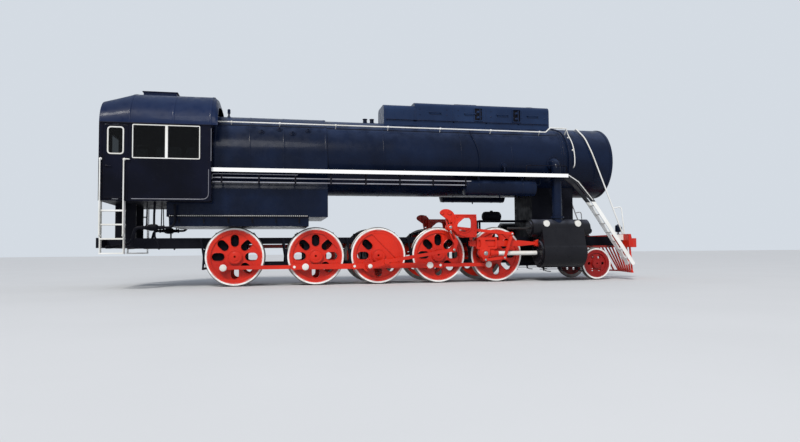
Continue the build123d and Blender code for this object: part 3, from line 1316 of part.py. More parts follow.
# Running boards with their deep edges, notched round the steam pipes
NOTCH_GAP = 12.0
NOTCH_HALF = STEAM_PIPE_R + NOTCH_GAP
NOTCH_OUT = PIPE_OUT + STEAM_PIPE_R + NOTCH_GAP
board_low = above(BOARD_HEIGHT) - BOARD_THICKNESS
inner_edge = sqrt(BARREL_R**2 - (BOILER_Z - above(BOARD_HEIGHT)) ** 2) + SEAT
with BuildPart() as running_boards:
    for side_name, side in SIDES:
        board = (
            (CAB_FRONT, FIREBOX_R + SEAT),
            (FIREBOX_FRONT, FIREBOX_R + SEAT),
            (FIREBOX_FRONT, inner_edge),
            (STEAM_PIPE_AHEAD - NOTCH_HALF, inner_edge),
            (STEAM_PIPE_AHEAD - NOTCH_HALF, NOTCH_OUT),
            (STEAM_PIPE_AHEAD + NOTCH_HALF, NOTCH_OUT),
            (STEAM_PIPE_AHEAD + NOTCH_HALF, inner_edge),
            (BOARD_FRONT, inner_edge),
            (BOARD_FRONT, BOARD_HALF_WIDTH),
            (CAB_FRONT, BOARD_HALF_WIDTH),
        )
        with BuildSketch(Plane.XY.offset(board_low)):
            Polygon(*[(ahead(x), side * y) for x, y in board], align=None)
        extrude(amount=BOARD_THICKNESS)
        with BuildSketch(slab(side, BOARD_HALF_WIDTH - BOARD_EDGE_THICKNESS)):
            edge_z = above(BOARD_HEIGHT) - BOARD_EDGE / 2
            with Locations((ahead((CAB_FRONT + BOARD_FRONT) / 2), edge_z)):
                Rectangle(BOARD_FRONT - CAB_FRONT, BOARD_EDGE)
        extrude(amount=side_depth(side, BOARD_EDGE_THICKNESS))
running_boards.part.label = "running_boards"
export_step(running_boards.part, "parts/running_boards.step")

# Air reservoirs hung from the running boards
HANGER_TALL = 60.0
HANGER_PLACES = (2750.0, 4040.0)
with BuildPart() as air_reservoirs:
    for side_name, side in SIDES:
        with BuildSketch(Plane.YZ.offset(ahead(TANK_REAR))):
            with Locations((side * TANK_Y, above(TANK_HEIGHT))):
                Circle(TANK_R)
        extrude(amount=TANK_FRONT - TANK_REAR)
        for place in HANGER_PLACES:
            with BuildSketch(Plane.YZ.offset(ahead(place) - HANGER_TALL / 2)):
                with Locations((side * TANK_Y, (board_low + above(TANK_HEIGHT)) / 2)):
                    Rectangle(TANK_R, board_low - above(TANK_HEIGHT))
            extrude(amount=HANGER_TALL)
air_reservoirs.part.label = "air_reservoirs"
export_step(air_reservoirs.part, "parts/air_reservoirs.step")

# Front stairs: white stringers from the running boards' ends down to the front beam, with treads
STAIR_PATH = ((5350.0, 2950.0), (5640.0, 2770.0), (6090.0, 2240.0), (7310.0, 460.0))
STAIR_WIDTH = 110.0
STAIR_PLATE = 20.0
STAIR_IN = 1180.0
STAIR_OUT = BOARD_HALF_WIDTH - STAIR_PLATE
STAIR_TREADS = 7
TREAD_LENGTH = 105.0
STAIR_FOOT_LENGTH = 220.0
STAIR_FOOT_TALL = 160.0
STAIR_FOOT_BELOW = 10.0
with BuildPart() as front_stairs:
    for side_name, side in SIDES:
        for near in (STAIR_IN, STAIR_OUT):
            with BuildSketch(slab(side, near)):
                for start, end in zip(STAIR_PATH, STAIR_PATH[1:]):
                    middle, length, angle = between(spot(start), spot(end))
                    with Locations(Location((*middle, 0), (0, 0, angle))):
                        SlotCenterToCenter(length, STAIR_WIDTH)
                with Locations((ahead(BOARD_FRONT) - STAIR_WIDTH, above(BOARD_HEIGHT))):
                    Rectangle(2 * STAIR_WIDTH, 4 * STAIR_WIDTH, mode=Mode.SUBTRACT)
            extrude(amount=side_depth(side, STAIR_PLATE))
        low = STAIR_PATH[-1]
        high = STAIR_PATH[-2]
        for index in range(STAIR_TREADS):
            share = (index + 0.5) / STAIR_TREADS
            tread = spot((low[0] + share * (high[0] - low[0]), low[1] + share * (high[1] - low[1])))
            with BuildSketch(slab(side, STAIR_IN + STAIR_PLATE)):
                with Locations(tread):
                    Rectangle(TREAD_LENGTH, STAIR_PLATE)
            extrude(amount=side_depth(side, STAIR_OUT - STAIR_IN - STAIR_PLATE))
        with BuildSketch(slab(side, STAIR_IN)):
            foot_z = above(BEAM_HIGH) - STAIR_FOOT_BELOW - STAIR_FOOT_TALL / 2
            with Locations((ahead(BEAM_REAR) - STAIR_FOOT_LENGTH / 2, foot_z)):
                Rectangle(STAIR_FOOT_LENGTH, STAIR_FOOT_TALL)
        extrude(amount=side_depth(side, STAIR_PLATE))
front_stairs.part.label = "front_stairs"
export_step(front_stairs.part, "parts/front_stairs.step")

# Leading truck: frame with its radius bar and the post under the frame's bearing block
BOLSTER_HIGH = 160.0
BOLSTER_THICKNESS = 50.0
BOLSTER_HALF_LENGTH = 160.0
POST_R = 120.0
POST_GAP = 8.0
CROSS_THICKNESS = 60.0
truck_x = ahead(LEADING_AXLE_AHEAD)
pivot_x = ahead(TRUCK_PIVOT_AHEAD)
side_low = LEADING_Z - TRUCK_BAR_HEIGHT
side_high = LEADING_Z + BOLSTER_HIGH - BOLSTER_THICKNESS
with BuildPart() as truck_frame:
    for side_name, side in SIDES:
        with BuildSketch(slab(side, TRUCK_SIDE_Y)):
            with Locations((truck_x, (side_low + side_high) / 2)):
                Rectangle(2 * TRUCK_SIDE_REACH, side_high - side_low)
            with Locations((truck_x, LEADING_Z)):
                Circle(AXLE_R + PIN_PLAY, mode=Mode.SUBTRACT)
        extrude(amount=side_depth(side, TRUCK_SIDE_THICKNESS))
    cross_x = TRUCK_SIDE_REACH - CROSS_THICKNESS / 2
    for place in (-cross_x, cross_x):
        with BuildSketch(Plane.YZ.offset(truck_x + place)):
            with Locations((0, LEADING_Z)):
                Rectangle(2 * TRUCK_SIDE_Y, 2 * TRUCK_BAR_HEIGHT)
        extrude(amount=CROSS_THICKNESS / 2, both=True)
    with BuildSketch(Plane.XY.offset(LEADING_Z + BOLSTER_HIGH - BOLSTER_THICKNESS)):
        with Locations((truck_x, 0)):
            Rectangle(2 * BOLSTER_HALF_LENGTH, 2 * (TRUCK_SIDE_Y + TRUCK_SIDE_THICKNESS))
    extrude(amount=BOLSTER_THICKNESS)
    with BuildSketch(Plane.XY.offset(LEADING_Z + BOLSTER_HIGH)):
        with Locations((truck_x, 0)):
            Circle(POST_R)
    extrude(amount=FRAME_END_LOW - POST_GAP - LEADING_Z - BOLSTER_HIGH)
    with BuildSketch(Plane.XY.offset(truck_low)):
        bar_end = truck_x - cross_x
        with Locations(((pivot_x + bar_end) / 2, 0)):
            Rectangle(bar_end - pivot_x, TRUCK_BAR_WIDTH)
        with Locations((pivot_x, 0)):
            Circle(TRUCK_EYE_R)
            Circle(TRUCK_PIVOT_R + PIN_PLAY, mode=Mode.SUBTRACT)
    extrude(amount=TRUCK_BAR_HEIGHT)
truck_frame.part.label = "truck_frame"
export_step(truck_frame.part, "parts/truck_frame.step")

# Leading wheels and their tyres
LEADING_HUB_R = 140.0
LEADING_HOLE_R = 45.0
LEADING_HOLES = 6
LEADING_HOLE_CENTRE_R = 215.0
half_plane = Plane(origin=(truck_x, 0, LEADING_Z), x_dir=(0, 1, 0), z_dir=(1, 0, 0))
axle_line = Axis((truck_x, 0, LEADING_Z), (0, 1, 0))
with BuildPart() as leading_wheelset:
    with BuildSketch(half_plane):
        for side in (-1, 1):
            Polygon(*wheel_half_section(side, LEADING_TREAD_R, LEADING_HUB_R), align=None)
    revolve(axis=axle_line)
    for side_name, side in SIDES:
        with BuildSketch(slab(side, WEB_IN)):
            with Locations((truck_x, LEADING_Z)):
                with PolarLocations(LEADING_HOLE_CENTRE_R, LEADING_HOLES):
                    Circle(LEADING_HOLE_R)
        extrude(amount=side_depth(side, WEB_THICKNESS), mode=Mode.SUBTRACT)
leading_wheelset.part.label = "leading_wheelset"
export_step(leading_wheelset.part, "parts/leading_wheelset.step")

with BuildPart() as leading_tyres:
    with BuildSketch(half_plane):
        for side in (-1, 1):
            Polygon(*tyre_half_section(side, LEADING_TREAD_R), align=None)
    revolve(axis=axle_line)
leading_tyres.part.label = "leading_tyres"
export_step(leading_tyres.part, "parts/leading_tyres.step")


def roof_arch(half_width, rise):
    """Points of the roof's cross section from one eave over the crown to the other."""
    right = (
        (-half_width, 0),
        (-HAUNCH_OUT * half_width, HAUNCH_UP * rise),
        (-SHOULDER_OUT * half_width, SHOULDER_UP * rise),
    )
    left = [(-across, up) for across, up in reversed(right)]
    return [(across, above(EAVES) + up) for across, up in (*right, (0, rise), *left)]


# Roof stations: place ahead of the main axle, how far the crown has dropped
ROOF_STATIONS = (
    (CAB_REAR, ROOF_REAR_DROP),
    (ROOF_SLOPE_START, 0.0),
    (CAB_FRONT, 0.0),
    (CAB_FRONT + VISOR_REACH, VISOR_DROP),
    (CAB_FRONT + ROOF_FRONT_REACH, ROOF_FRONT_DROP),
)

# Cab roof: a curved shell that slopes at the rear and front, with its vent box
with BuildPart() as cab_roof:
    for inset, mode in ((0, Mode.ADD), (CAB_WALL, Mode.SUBTRACT)):
        for start, end in zip(ROOF_STATIONS, ROOF_STATIONS[1:]):
            for place, drop in (start, end):
                p = roof_arch(CAB_HALF_WIDTH - inset, ROOF_RISE - drop - inset)
                with BuildSketch(Plane.YZ.offset(ahead(place))):
                    with BuildLine():
                        ThreePointArc(p[0], p[1], p[2])
                        ThreePointArc(p[2], p[3], p[4])
                        ThreePointArc(p[4], p[5], p[6])
                        Line(p[6], p[0])
                    make_face()
            loft(mode=mode)
    vent_low = above(EAVES) + ROOF_RISE - CAB_WALL / 2
    with BuildSketch(Plane.XY.offset(vent_low)):
        with Locations((ahead((VENT_REAR + VENT_FRONT) / 2), 0)):
            Rectangle(VENT_FRONT - VENT_REAR, 2 * VENT_HALF)
    extrude(amount=VENT_RISE + CAB_WALL / 2)
cab_roof.part.label = "cab_roof"
export_step(cab_roof.part, "parts/cab_roof.step")

# Cab sides, each with its double window and door opening
window_middle = (WINDOW_REAR + WINDOW_FRONT) / 2
window_length = (WINDOW_FRONT - WINDOW_REAR - WINDOW_MULLION) / 2
window_offset = (window_length + WINDOW_MULLION) / 2
window_centre = above((WINDOW_LOW + WINDOW_HIGH) / 2)
door_hinge_x = ahead(DOOR_FRONT)
door_hinge_y = CAB_IN - DOOR_HINGE_INBOARD
door_middle = (DOOR_REAR + DOOR_FRONT) / 2
door_window_middle = (DOOR_WINDOW_LOW + DOOR_WINDOW_HIGH) / 2
with BuildPart() as cab_sides:
    for side_name, side in SIDES:
        with BuildSketch(slab(side, CAB_IN)):
            with Locations((ahead((CAB_REAR + CAB_FRONT) / 2), above((CAB_LOW + EAVES) / 2))):
                Rectangle(CAB_FRONT - CAB_REAR, EAVES - CAB_LOW)
            for offset_x in (-window_offset, window_offset):
                with Locations((ahead(window_middle) + offset_x, window_centre)):
                    RectangleRounded(
                        window_length, WINDOW_HIGH - WINDOW_LOW, WINDOW_CORNER, mode=Mode.SUBTRACT
                    )
            with Locations((ahead(door_middle), (FLOOR_TOP + above(DOOR_HIGH)) / 2)):
                Rectangle(DOOR_FRONT - DOOR_REAR, above(DOOR_HIGH) - FLOOR_TOP, mode=Mode.SUBTRACT)
        extrude(amount=side_depth(side, CAB_WALL))
        for height in DOOR_HINGE_HEIGHTS:
            knuckle_low = above(height) - DOOR_HINGE_TALL / 2 - PIN_PLAY
            knuckle_high = above(height) + DOOR_HINGE_TALL / 2 + PIN_PLAY
            for low in (knuckle_low - DOOR_HINGE_LUG_TALL, knuckle_high):
                with BuildSketch(Plane.XY.offset(low)):
                    with Locations((door_hinge_x + DOOR_HINGE_LEAF / 2, side * door_hinge_y)):
                        Rectangle(DOOR_HINGE_LEAF, 2 * DOOR_HINGE_INBOARD)
                    with Locations((door_hinge_x, side * door_hinge_y)):
                        Circle(DOOR_HINGE_R)
                extrude(amount=DOOR_HINGE_LUG_TALL)
            with BuildSketch(Plane.XY.offset(knuckle_low - DOOR_HINGE_LUG_TALL)):
                with Locations((door_hinge_x, side * door_hinge_y)):
                    Circle(DOOR_HINGE_PIN_R)
            extrude(amount=knuckle_high - knuckle_low + 2 * DOOR_HINGE_LUG_TALL)
cab_sides.part.label = "cab_sides"
export_step(cab_sides.part, "parts/cab_sides.step")

# Side doors, hinged on their front edges to open into the cab
for side_name, side in SIDES:
    with BuildPart() as cab_door:
        with BuildSketch(slab(side, CAB_IN)):
            with Locations((ahead(door_middle), (FLOOR_TOP + above(DOOR_HIGH)) / 2)):
                Rectangle(
                    DOOR_FRONT - DOOR_REAR - 2 * DOOR_GAP,
                    above(DOOR_HIGH) - FLOOR_TOP - 2 * DOOR_GAP,
                )
            with Locations(spot((door_middle, door_window_middle))):
                RectangleRounded(
                    DOOR_FRONT - DOOR_REAR - 2 * DOOR_WINDOW_MARGIN,
                    DOOR_WINDOW_HIGH - DOOR_WINDOW_LOW,
                    WINDOW_CORNER,
                    mode=Mode.SUBTRACT,
                )
        extrude(amount=side_depth(side, CAB_WALL))
        for height in DOOR_HINGE_HEIGHTS:
            with BuildSketch(Plane.XY.offset(above(height) - DOOR_HINGE_TALL / 2)):
                with Locations((door_hinge_x - DOOR_HINGE_LEAF / 2, side * door_hinge_y)):
                    Rectangle(DOOR_HINGE_LEAF, 2 * DOOR_HINGE_INBOARD)
                with Locations((door_hinge_x, side * door_hinge_y)):
                    Circle(DOOR_HINGE_R)
                    Circle(DOOR_HINGE_PIN_R + PIN_PLAY, mode=Mode.SUBTRACT)
            extrude(amount=DOOR_HINGE_TALL)
    cab_door.part.label = f"cab_door_{side_name}"
    export_step(cab_door.part, f"parts/cab_door_{side_name}.step")

# Cab floor, cut out round the firebox
with BuildPart() as cab_floor:
    with BuildSketch(Plane.XY.offset(above(CAB_LOW))):
        with Locations((ahead((CAB_REAR + CAB_FRONT) / 2), 0)):
            Rectangle(CAB_FRONT - CAB_REAR, 2 * CAB_IN)
        with Locations((ahead(BACKHEAD) - SEAT, 0)):
            Rectangle(
                CAB_FRONT - BACKHEAD + 2 * SEAT,
                2 * (FIREBOX_LOW_HALF + SEAT),
                align=(Align.MIN, Align.CENTER),
                mode=Mode.SUBTRACT,
            )
    extrude(amount=CAB_WALL)
cab_floor.part.label = "cab_floor"
export_step(cab_floor.part, "parts/cab_floor.step")

# Cab end walls: the front one fits round the firebox, the rear one has the doorway to the fuel
FRONT_WINDOW_MARGIN = 80.0
REAR_WINDOW_ACROSS = 980.0
REAR_WINDOW_HALF = 230.0
with BuildPart() as cab_front_wall:
    arch = roof_arch(CAB_IN - SEAT, ROOF_RISE - CAB_WALL - SEAT)
    left_flank, right_flank = firebox_points(SEAT)
    with BuildSketch(Plane.YZ.offset(ahead(CAB_FRONT) - CAB_WALL)):
        with BuildLine():
            ThreePointArc(arch[0], arch[1], arch[2])
            ThreePointArc(arch[2], arch[3], arch[4])
            ThreePointArc(arch[4], arch[5], arch[6])
            Line(arch[6], (CAB_IN, FLOOR_TOP))
            Line((CAB_IN, FLOOR_TOP), (-CAB_IN, FLOOR_TOP))
            Line((-CAB_IN, FLOOR_TOP), arch[0])
        make_face()
        with BuildLine():
            Polyline(*left_flank)
            ThreePointArc(left_flank[-1], (0, BOILER_Z + FIREBOX_R + SEAT), right_flank[-1])
            Polyline(*reversed(right_flank))
            Line(right_flank[0], left_flank[0])
        make_face(mode=Mode.SUBTRACT)
        for across in (-1, 1):
            with Locations((across * (FIREBOX_R + CAB_IN) / 2, window_centre)):
                RectangleRounded(
                    CAB_IN - FIREBOX_R - 2 * FRONT_WINDOW_MARGIN,
                    WINDOW_HIGH - WINDOW_LOW,
                    WINDOW_CORNER,
                    mode=Mode.SUBTRACT,
                )
    extrude(amount=CAB_WALL)
cab_front_wall.part.label = "cab_front_wall"
export_step(cab_front_wall.part, "parts/cab_front_wall.step")

with BuildPart() as cab_rear_wall:
    arch = roof_arch(CAB_IN - SEAT, ROOF_RISE - ROOF_REAR_DROP - CAB_WALL - SEAT)
    with BuildSketch(Plane.YZ.offset(ahead(CAB_REAR))):
        with BuildLine():
            ThreePointArc(arch[0], arch[1], arch[2])
            ThreePointArc(arch[2], arch[3], arch[4])
            ThreePointArc(arch[4], arch[5], arch[6])
            Line(arch[6], (CAB_IN, FLOOR_TOP))
            Line((CAB_IN, FLOOR_TOP), (-CAB_IN, FLOOR_TOP))
            Line((-CAB_IN, FLOOR_TOP), arch[0])
        make_face()
        with Locations((0, (FLOOR_TOP + above(REAR_DOORWAY_HIGH)) / 2)):
            Rectangle(
                2 * REAR_DOORWAY_HALF, above(REAR_DOORWAY_HIGH) - FLOOR_TOP, mode=Mode.SUBTRACT
            )
        for across in (-REAR_WINDOW_ACROSS, REAR_WINDOW_ACROSS):
            with Locations((across, window_centre)):
                RectangleRounded(
                    2 * REAR_WINDOW_HALF, WINDOW_HIGH - WINDOW_LOW, WINDOW_CORNER, mode=Mode.SUBTRACT
                )
    extrude(amount=CAB_WALL)
cab_rear_wall.part.label = "cab_rear_wall"
export_step(cab_rear_wall.part, "parts/cab_rear_wall.step")

# Window panes in the cab sides
PANE_THICKNESS = 8.0
with BuildPart() as cab_glass:
    for side_name, side in SIDES:
        with BuildSketch(slab(side, CAB_HALF_WIDTH - CAB_WALL / 2 - PANE_THICKNESS / 2)):
            for offset_x in (-window_offset, window_offset):
                with Locations((ahead(window_middle) + offset_x, window_centre)):
                    RectangleRounded(
                        window_length - 2 * SEAT,
                        WINDOW_HIGH - WINDOW_LOW - 2 * SEAT,
                        WINDOW_CORNER - SEAT,
                    )
        extrude(amount=side_depth(side, PANE_THICKNESS))
cab_glass.part.label = "cab_glass"
export_step(cab_glass.part, "parts/cab_glass.step")

# Crew seats on posts, beside the windows
SEAT_AHEAD = -5450.0
SEAT_ACROSS = 1250.0
SEAT_LENGTH = 420.0
SEAT_WIDTH = 380.0
SEAT_HEIGHT = 560.0
SEAT_THICKNESS = 80.0
SEAT_POST_R = 45.0
with BuildPart() as crew_seats:
    for side_name, side in SIDES:
        with BuildSketch(Plane.XY.offset(FLOOR_TOP)):
            with Locations((ahead(SEAT_AHEAD), side * SEAT_ACROSS)):
                Circle(SEAT_POST_R)
        extrude(amount=SEAT_HEIGHT - SEAT_THICKNESS)
        with BuildSketch(Plane.XY.offset(FLOOR_TOP + SEAT_HEIGHT - SEAT_THICKNESS)):
            with Locations((ahead(SEAT_AHEAD), side * SEAT_ACROSS)):
                RectangleRounded(SEAT_LENGTH, SEAT_WIDTH, SEAT_THICKNESS / 2)
        extrude(amount=SEAT_THICKNESS)
crew_seats.part.label = "crew_seats"
export_step(crew_seats.part, "parts/crew_seats.step")

# Cab ladders under the doors: stringers and four treads a side
LADDER_REAR = -6915.0
LADDER_FRONT = -6360.0
LADDER_LOW = 850.0
LADDER_PLATE = 20.0
LADDER_DEPTH = 160.0
LADDER_TREADS = (1920.0, 1580.0, 1235.0, 885.0)
LADDER_TREAD_THICKNESS = 35.0
LADDER_TREAD_DEPTH = 220.0
LADDER_TREAD_PROUD = 20.0
with BuildPart() as cab_ladders:
    for side_name, side in SIDES:
        for place in (LADDER_REAR, LADDER_FRONT - LADDER_PLATE):
            with BuildSketch(Plane.YZ.offset(ahead(place))):
                middle_z = above((LADDER_LOW + CAB_LOW) / 2)
                with Locations((side * (CAB_HALF_WIDTH - LADDER_DEPTH / 2), middle_z)):
                    Rectangle(LADDER_DEPTH, CAB_LOW - LADDER_LOW)
            extrude(amount=LADDER_PLATE)
        for height in LADDER_TREADS:
            with BuildSketch(Plane.XY.offset(above(height) - LADDER_TREAD_THICKNESS)):
                tread_y = CAB_HALF_WIDTH + LADDER_TREAD_PROUD - LADDER_TREAD_DEPTH / 2
                with Locations((ahead((LADDER_REAR + LADDER_FRONT) / 2), side * tread_y)):
                    Rectangle(LADDER_FRONT - LADDER_REAR, LADDER_TREAD_DEPTH)
            extrude(amount=LADDER_TREAD_THICKNESS)
cab_ladders.part.label = "cab_ladders"
export_step(cab_ladders.part, "parts/cab_ladders.step")

# Handrails: along the boiler with their stanchions, rising at the front, and beside the cab doors
RAIL_R = 18.0
RAIL_BEND = 60.0
RAIL_Y = 850.0
RAIL_HEIGHT = 4300.0
RAIL_RISE = 130.0
RAIL_RISE_START = 4990.0
RAIL_RISE_END = 5130.0
RAIL_FRONT = 5660.0
STANCHION_R = 11.0
STANCHIONS = (-3900.0, -2650.0, -1150.0, 300.0, 1800.0, 3300.0, 4800.0)
LADDER_RAIL_R = 16.0
LADDER_RAIL_BEND = 30.0
LADDER_RAIL_OUT = 55.0
LADDER_RAIL_HIGH = 3150.0
LADDER_RAIL_LOW = 1300.0
RAIL_HOOK_AHEAD = -6250.0
with BuildPart() as handrails:
    rail_z = above(RAIL_HEIGHT)
    rail_angle = degrees(atan2(rail_z - BOILER_Z, RAIL_Y))
    for side_name, side in SIDES:
        with BuildSketch(Plane.YZ.offset(ahead(CAB_FRONT))):
            with Locations((side * RAIL_Y, rail_z)):
                Circle(RAIL_R)
        extrude(amount=RAIL_RISE_START - RAIL_BEND - CAB_FRONT)
        rise_start = (ahead(RAIL_RISE_START) - RAIL_BEND, side * RAIL_Y, rail_z)
        front_angle = degrees(atan2(rail_z + RAIL_RISE - BOILER_Z, RAIL_Y))
        front_y, front_z = polar(SMOKEBOX_R + SEAT, front_angle)
        with BuildLine():
            FilletPolyline(
                rise_start,
                (ahead(RAIL_RISE_START), side * RAIL_Y, rail_z),
                (ahead(RAIL_RISE_END), side * RAIL_Y, rail_z + RAIL_RISE),
                (ahead(RAIL_FRONT), side * RAIL_Y, rail_z + RAIL_RISE),
                (ahead(RAIL_FRONT), side * front_y, BOILER_Z + front_z),
                radius=RAIL_BEND,
            )
        with BuildSketch(Plane(origin=rise_start, x_dir=(0, 1, 0), z_dir=(1, 0, 0))):
            Circle(RAIL_R)
        sweep()
        for place in STANCHIONS:
            shell_r = FIREBOX_R if place < FIREBOX_FRONT else BARREL_R
            foot_y, foot_z = polar(shell_r + SEAT, rail_angle)
            base = (ahead(place), side * foot_y, BOILER_Z + foot_z)
            out_y, out_z = polar(1, rail_angle)
            with BuildSketch(Plane(origin=base, x_dir=(1, 0, 0), z_dir=(0, side * out_y, out_z))):
                Circle(STANCHION_R)
            extrude(amount=hypot(RAIL_Y, rail_z - BOILER_Z) - shell_r - SEAT)
        cab_side = CAB_HALF_WIDTH + SEAT
        rail_out = CAB_HALF_WIDTH + LADDER_RAIL_OUT
        for place, hook in (
            (LADDER_REAR + LADDER_PLATE / 2, LADDER_REAR + LADDER_PLATE / 2),
            (LADDER_FRONT - LADDER_PLATE / 2, RAIL_HOOK_AHEAD),
        ):
            hook_start = (ahead(hook), side * cab_side, above(LADDER_RAIL_HIGH))
            turn = [] if hook == place else [(ahead(hook), side * rail_out, above(LADDER_RAIL_HIGH))]
            with BuildLine():
                FilletPolyline(
                    hook_start,
                    *turn,
                    (ahead(place), side * rail_out, above(LADDER_RAIL_HIGH)),
                    (ahead(place), side * rail_out, above(LADDER_RAIL_LOW)),
                    (ahead(place), side * cab_side, above(LADDER_RAIL_LOW)),
                    radius=LADDER_RAIL_BEND,
                )
            with BuildSketch(Plane(origin=hook_start, x_dir=(1, 0, 0), z_dir=(0, side, 0))):
                Circle(LADDER_RAIL_R)
            sweep()
handrails.part.label = "handrails"
export_step(handrails.part, "parts/handrails.step")

# Panes of the door windows
for side_name, side in SIDES:
    with BuildPart() as door_glass:
        with BuildSketch(slab(side, CAB_HALF_WIDTH - CAB_WALL / 2 - PANE_THICKNESS / 2)):
            with Locations(spot((door_middle, door_window_middle))):
                RectangleRounded(
                    DOOR_FRONT - DOOR_REAR - 2 * DOOR_WINDOW_MARGIN - 2 * SEAT,
                    DOOR_WINDOW_HIGH - DOOR_WINDOW_LOW - 2 * SEAT,
                    WINDOW_CORNER - SEAT,
                )
        extrude(amount=side_depth(side, PANE_THICKNESS))
    door_glass.part.label = f"door_glass_{side_name}"
    export_step(door_glass.part, f"parts/door_glass_{side_name}.step")

# Fittings on the boiler's back: fire door, gauge columns and regulator handle
FIRE_DOOR_HEIGHT = 2750.0
FIRE_DOOR_LENGTH = 560.0
FIRE_DOOR_TALL = 420.0
FIRE_DOOR_THICKNESS = 45.0
GAUGE_ACROSS = 420.0
GAUGE_LOW = 3350.0
GAUGE_TALL = 420.0
GAUGE_R = 28.0
GAUGE_STANDOFF = 60.0
REGULATOR_HEIGHT = 4050.0
REGULATOR_R = 30.0
REGULATOR_REACH = 150.0
REGULATOR_LENGTH = 620.0
REGULATOR_WIDTH = 50.0
backhead_x = ahead(BACKHEAD)
with BuildPart() as backhead_fittings:
    with BuildSketch(Plane.YZ.offset(backhead_x)):
        with Locations((0, above(FIRE_DOOR_HEIGHT))):
            RectangleRounded(FIRE_DOOR_LENGTH, FIRE_DOOR_TALL, FIRE_DOOR_THICKNESS)
    extrude(amount=-FIRE_DOOR_THICKNESS)
    for across in (-GAUGE_ACROSS, GAUGE_ACROSS):
        with BuildSketch(Plane.XY.offset(above(GAUGE_LOW))):
            with Locations((backhead_x - GAUGE_STANDOFF, across)):
                Circle(GAUGE_R)
        extrude(amount=GAUGE_TALL)
        for height in (GAUGE_LOW + GAUGE_R, GAUGE_LOW + GAUGE_TALL - GAUGE_R):
            with BuildSketch(Plane.YZ.offset(backhead_x)):
                with Locations((across, above(height))):
                    Circle(GAUGE_R / 2)
            extrude(amount=-GAUGE_STANDOFF)
    with BuildSketch(Plane.YZ.offset(backhead_x)):
        with Locations((0, above(REGULATOR_HEIGHT))):
            Circle(REGULATOR_R)
    extrude(amount=-REGULATOR_REACH)
    with BuildSketch(Plane.YZ.offset(backhead_x - REGULATOR_REACH)):
        with Locations((-REGULATOR_LENGTH / 2, above(REGULATOR_HEIGHT))):
            SlotCenterToCenter(REGULATOR_LENGTH, REGULATOR_WIDTH)
    extrude(amount=REGULATOR_R)
backhead_fittings.part.label = "backhead_fittings"
export_step(backhead_fittings.part, "parts/backhead_fittings.step")
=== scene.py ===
from itertools import product
from math import atan2, cos, degrees, pi, radians, sin, sqrt

import bmesh
import bpy
from mathutils import Matrix, Vector


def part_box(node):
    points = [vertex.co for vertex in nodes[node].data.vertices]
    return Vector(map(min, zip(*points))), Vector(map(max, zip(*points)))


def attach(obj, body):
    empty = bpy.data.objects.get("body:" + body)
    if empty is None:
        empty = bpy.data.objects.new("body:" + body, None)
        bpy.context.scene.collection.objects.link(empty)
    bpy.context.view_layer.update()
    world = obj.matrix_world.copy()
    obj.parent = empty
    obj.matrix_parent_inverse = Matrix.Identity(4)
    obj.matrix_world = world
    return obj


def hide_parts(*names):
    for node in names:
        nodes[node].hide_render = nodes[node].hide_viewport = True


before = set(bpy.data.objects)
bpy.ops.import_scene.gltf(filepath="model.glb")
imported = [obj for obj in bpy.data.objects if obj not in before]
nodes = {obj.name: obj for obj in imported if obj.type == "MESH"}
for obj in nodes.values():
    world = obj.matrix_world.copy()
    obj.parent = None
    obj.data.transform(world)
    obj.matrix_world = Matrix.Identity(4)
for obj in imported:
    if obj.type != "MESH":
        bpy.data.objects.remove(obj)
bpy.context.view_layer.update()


def middle(node):
    low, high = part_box(node)
    return (low + high) / 2


# Places in the row frame, in metres: x forward, the right side at negative y, z up from the flanges' tips
SIDE_OF = {"right": -1, "left": 1}
SIDES = tuple(SIDE_OF.values())
OUT = {side: (0, side, 0) for side in SIDES}
FORWARD, BACK, UP, DOWN = (1, 0, 0), (-1, 0, 0), (0, 0, 1), (0, 0, -1)
RAIL_TOP = 0.028
MAIN_X, _, AXLE_Z = middle("driver_tyres_3")
LEADING_X, _, LEADING_Z = middle("leading_tyres")
AXLES = {number: middle(f"driver_tyres_{number}").x for number in range(1, 6)}
TYRE_FACE_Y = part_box("driver_tyres_3")[1].y
BOILER_Z = middle("boiler_barrel").z
BARREL_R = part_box("boiler_barrel")[1].z - BOILER_Z
SMOKEBOX_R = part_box("smokebox")[1].z - middle("smokebox").z
fire_low, fire_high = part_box("firebox")
FIREBOX_R = fire_high.z - BOILER_Z
door_low, door_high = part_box("smokebox_door")
DOOR_FACE_X = door_low.x + 0.05
cab_low, cab_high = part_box("cab_sides")
CAB_Y = cab_high.y
board_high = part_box("running_boards")[1]
BOARD_Z = board_high.z
casing_low, casing_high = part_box("top_casing")
CASING_Y = casing_high.y
tank_low, tank_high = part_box("air_reservoirs")
beam_low, beam_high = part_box("front_beam")
CYLINDER_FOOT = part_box("cylinders")[0].z
CYLINDER_Y = 1.15
CYLINDER_HEIGHT, VALVE_HEIGHT = 0.78, 1.48
CRANK_R = 0.4
CRANK_ANGLE = {-1: 225, 1: 135}


def ahead(distance):
    return MAIN_X + distance


def above(height):
    return RAIL_TOP + height


def at(distance, y, height):
    """Point a distance ahead of the main axle and a height above the rail."""
    return Vector((ahead(distance), y, above(height)))


def polar(radius, angle):
    return radius * cos(radians(angle)), radius * sin(radians(angle))


def circle(radius, count, start=0.0):
    return [polar(radius, start + 360 * index / count) for index in range(count)]


def span(centre, half):
    return centre - half, centre + half


def spread(start, end, count):
    return [start + (end - start) * index / (count - 1) for index in range(count)]


def outwards(side, angle):
    """Way out from the boiler's axis, at an angle up from the level line on one side."""
    return Vector((0, *polar(1, angle))) * Vector((1, side, 1))


def on_shell(distance, side, radius, angle):
    return Vector((ahead(distance), 0, BOILER_Z)) + outwards(side, angle) * radius


# Materials

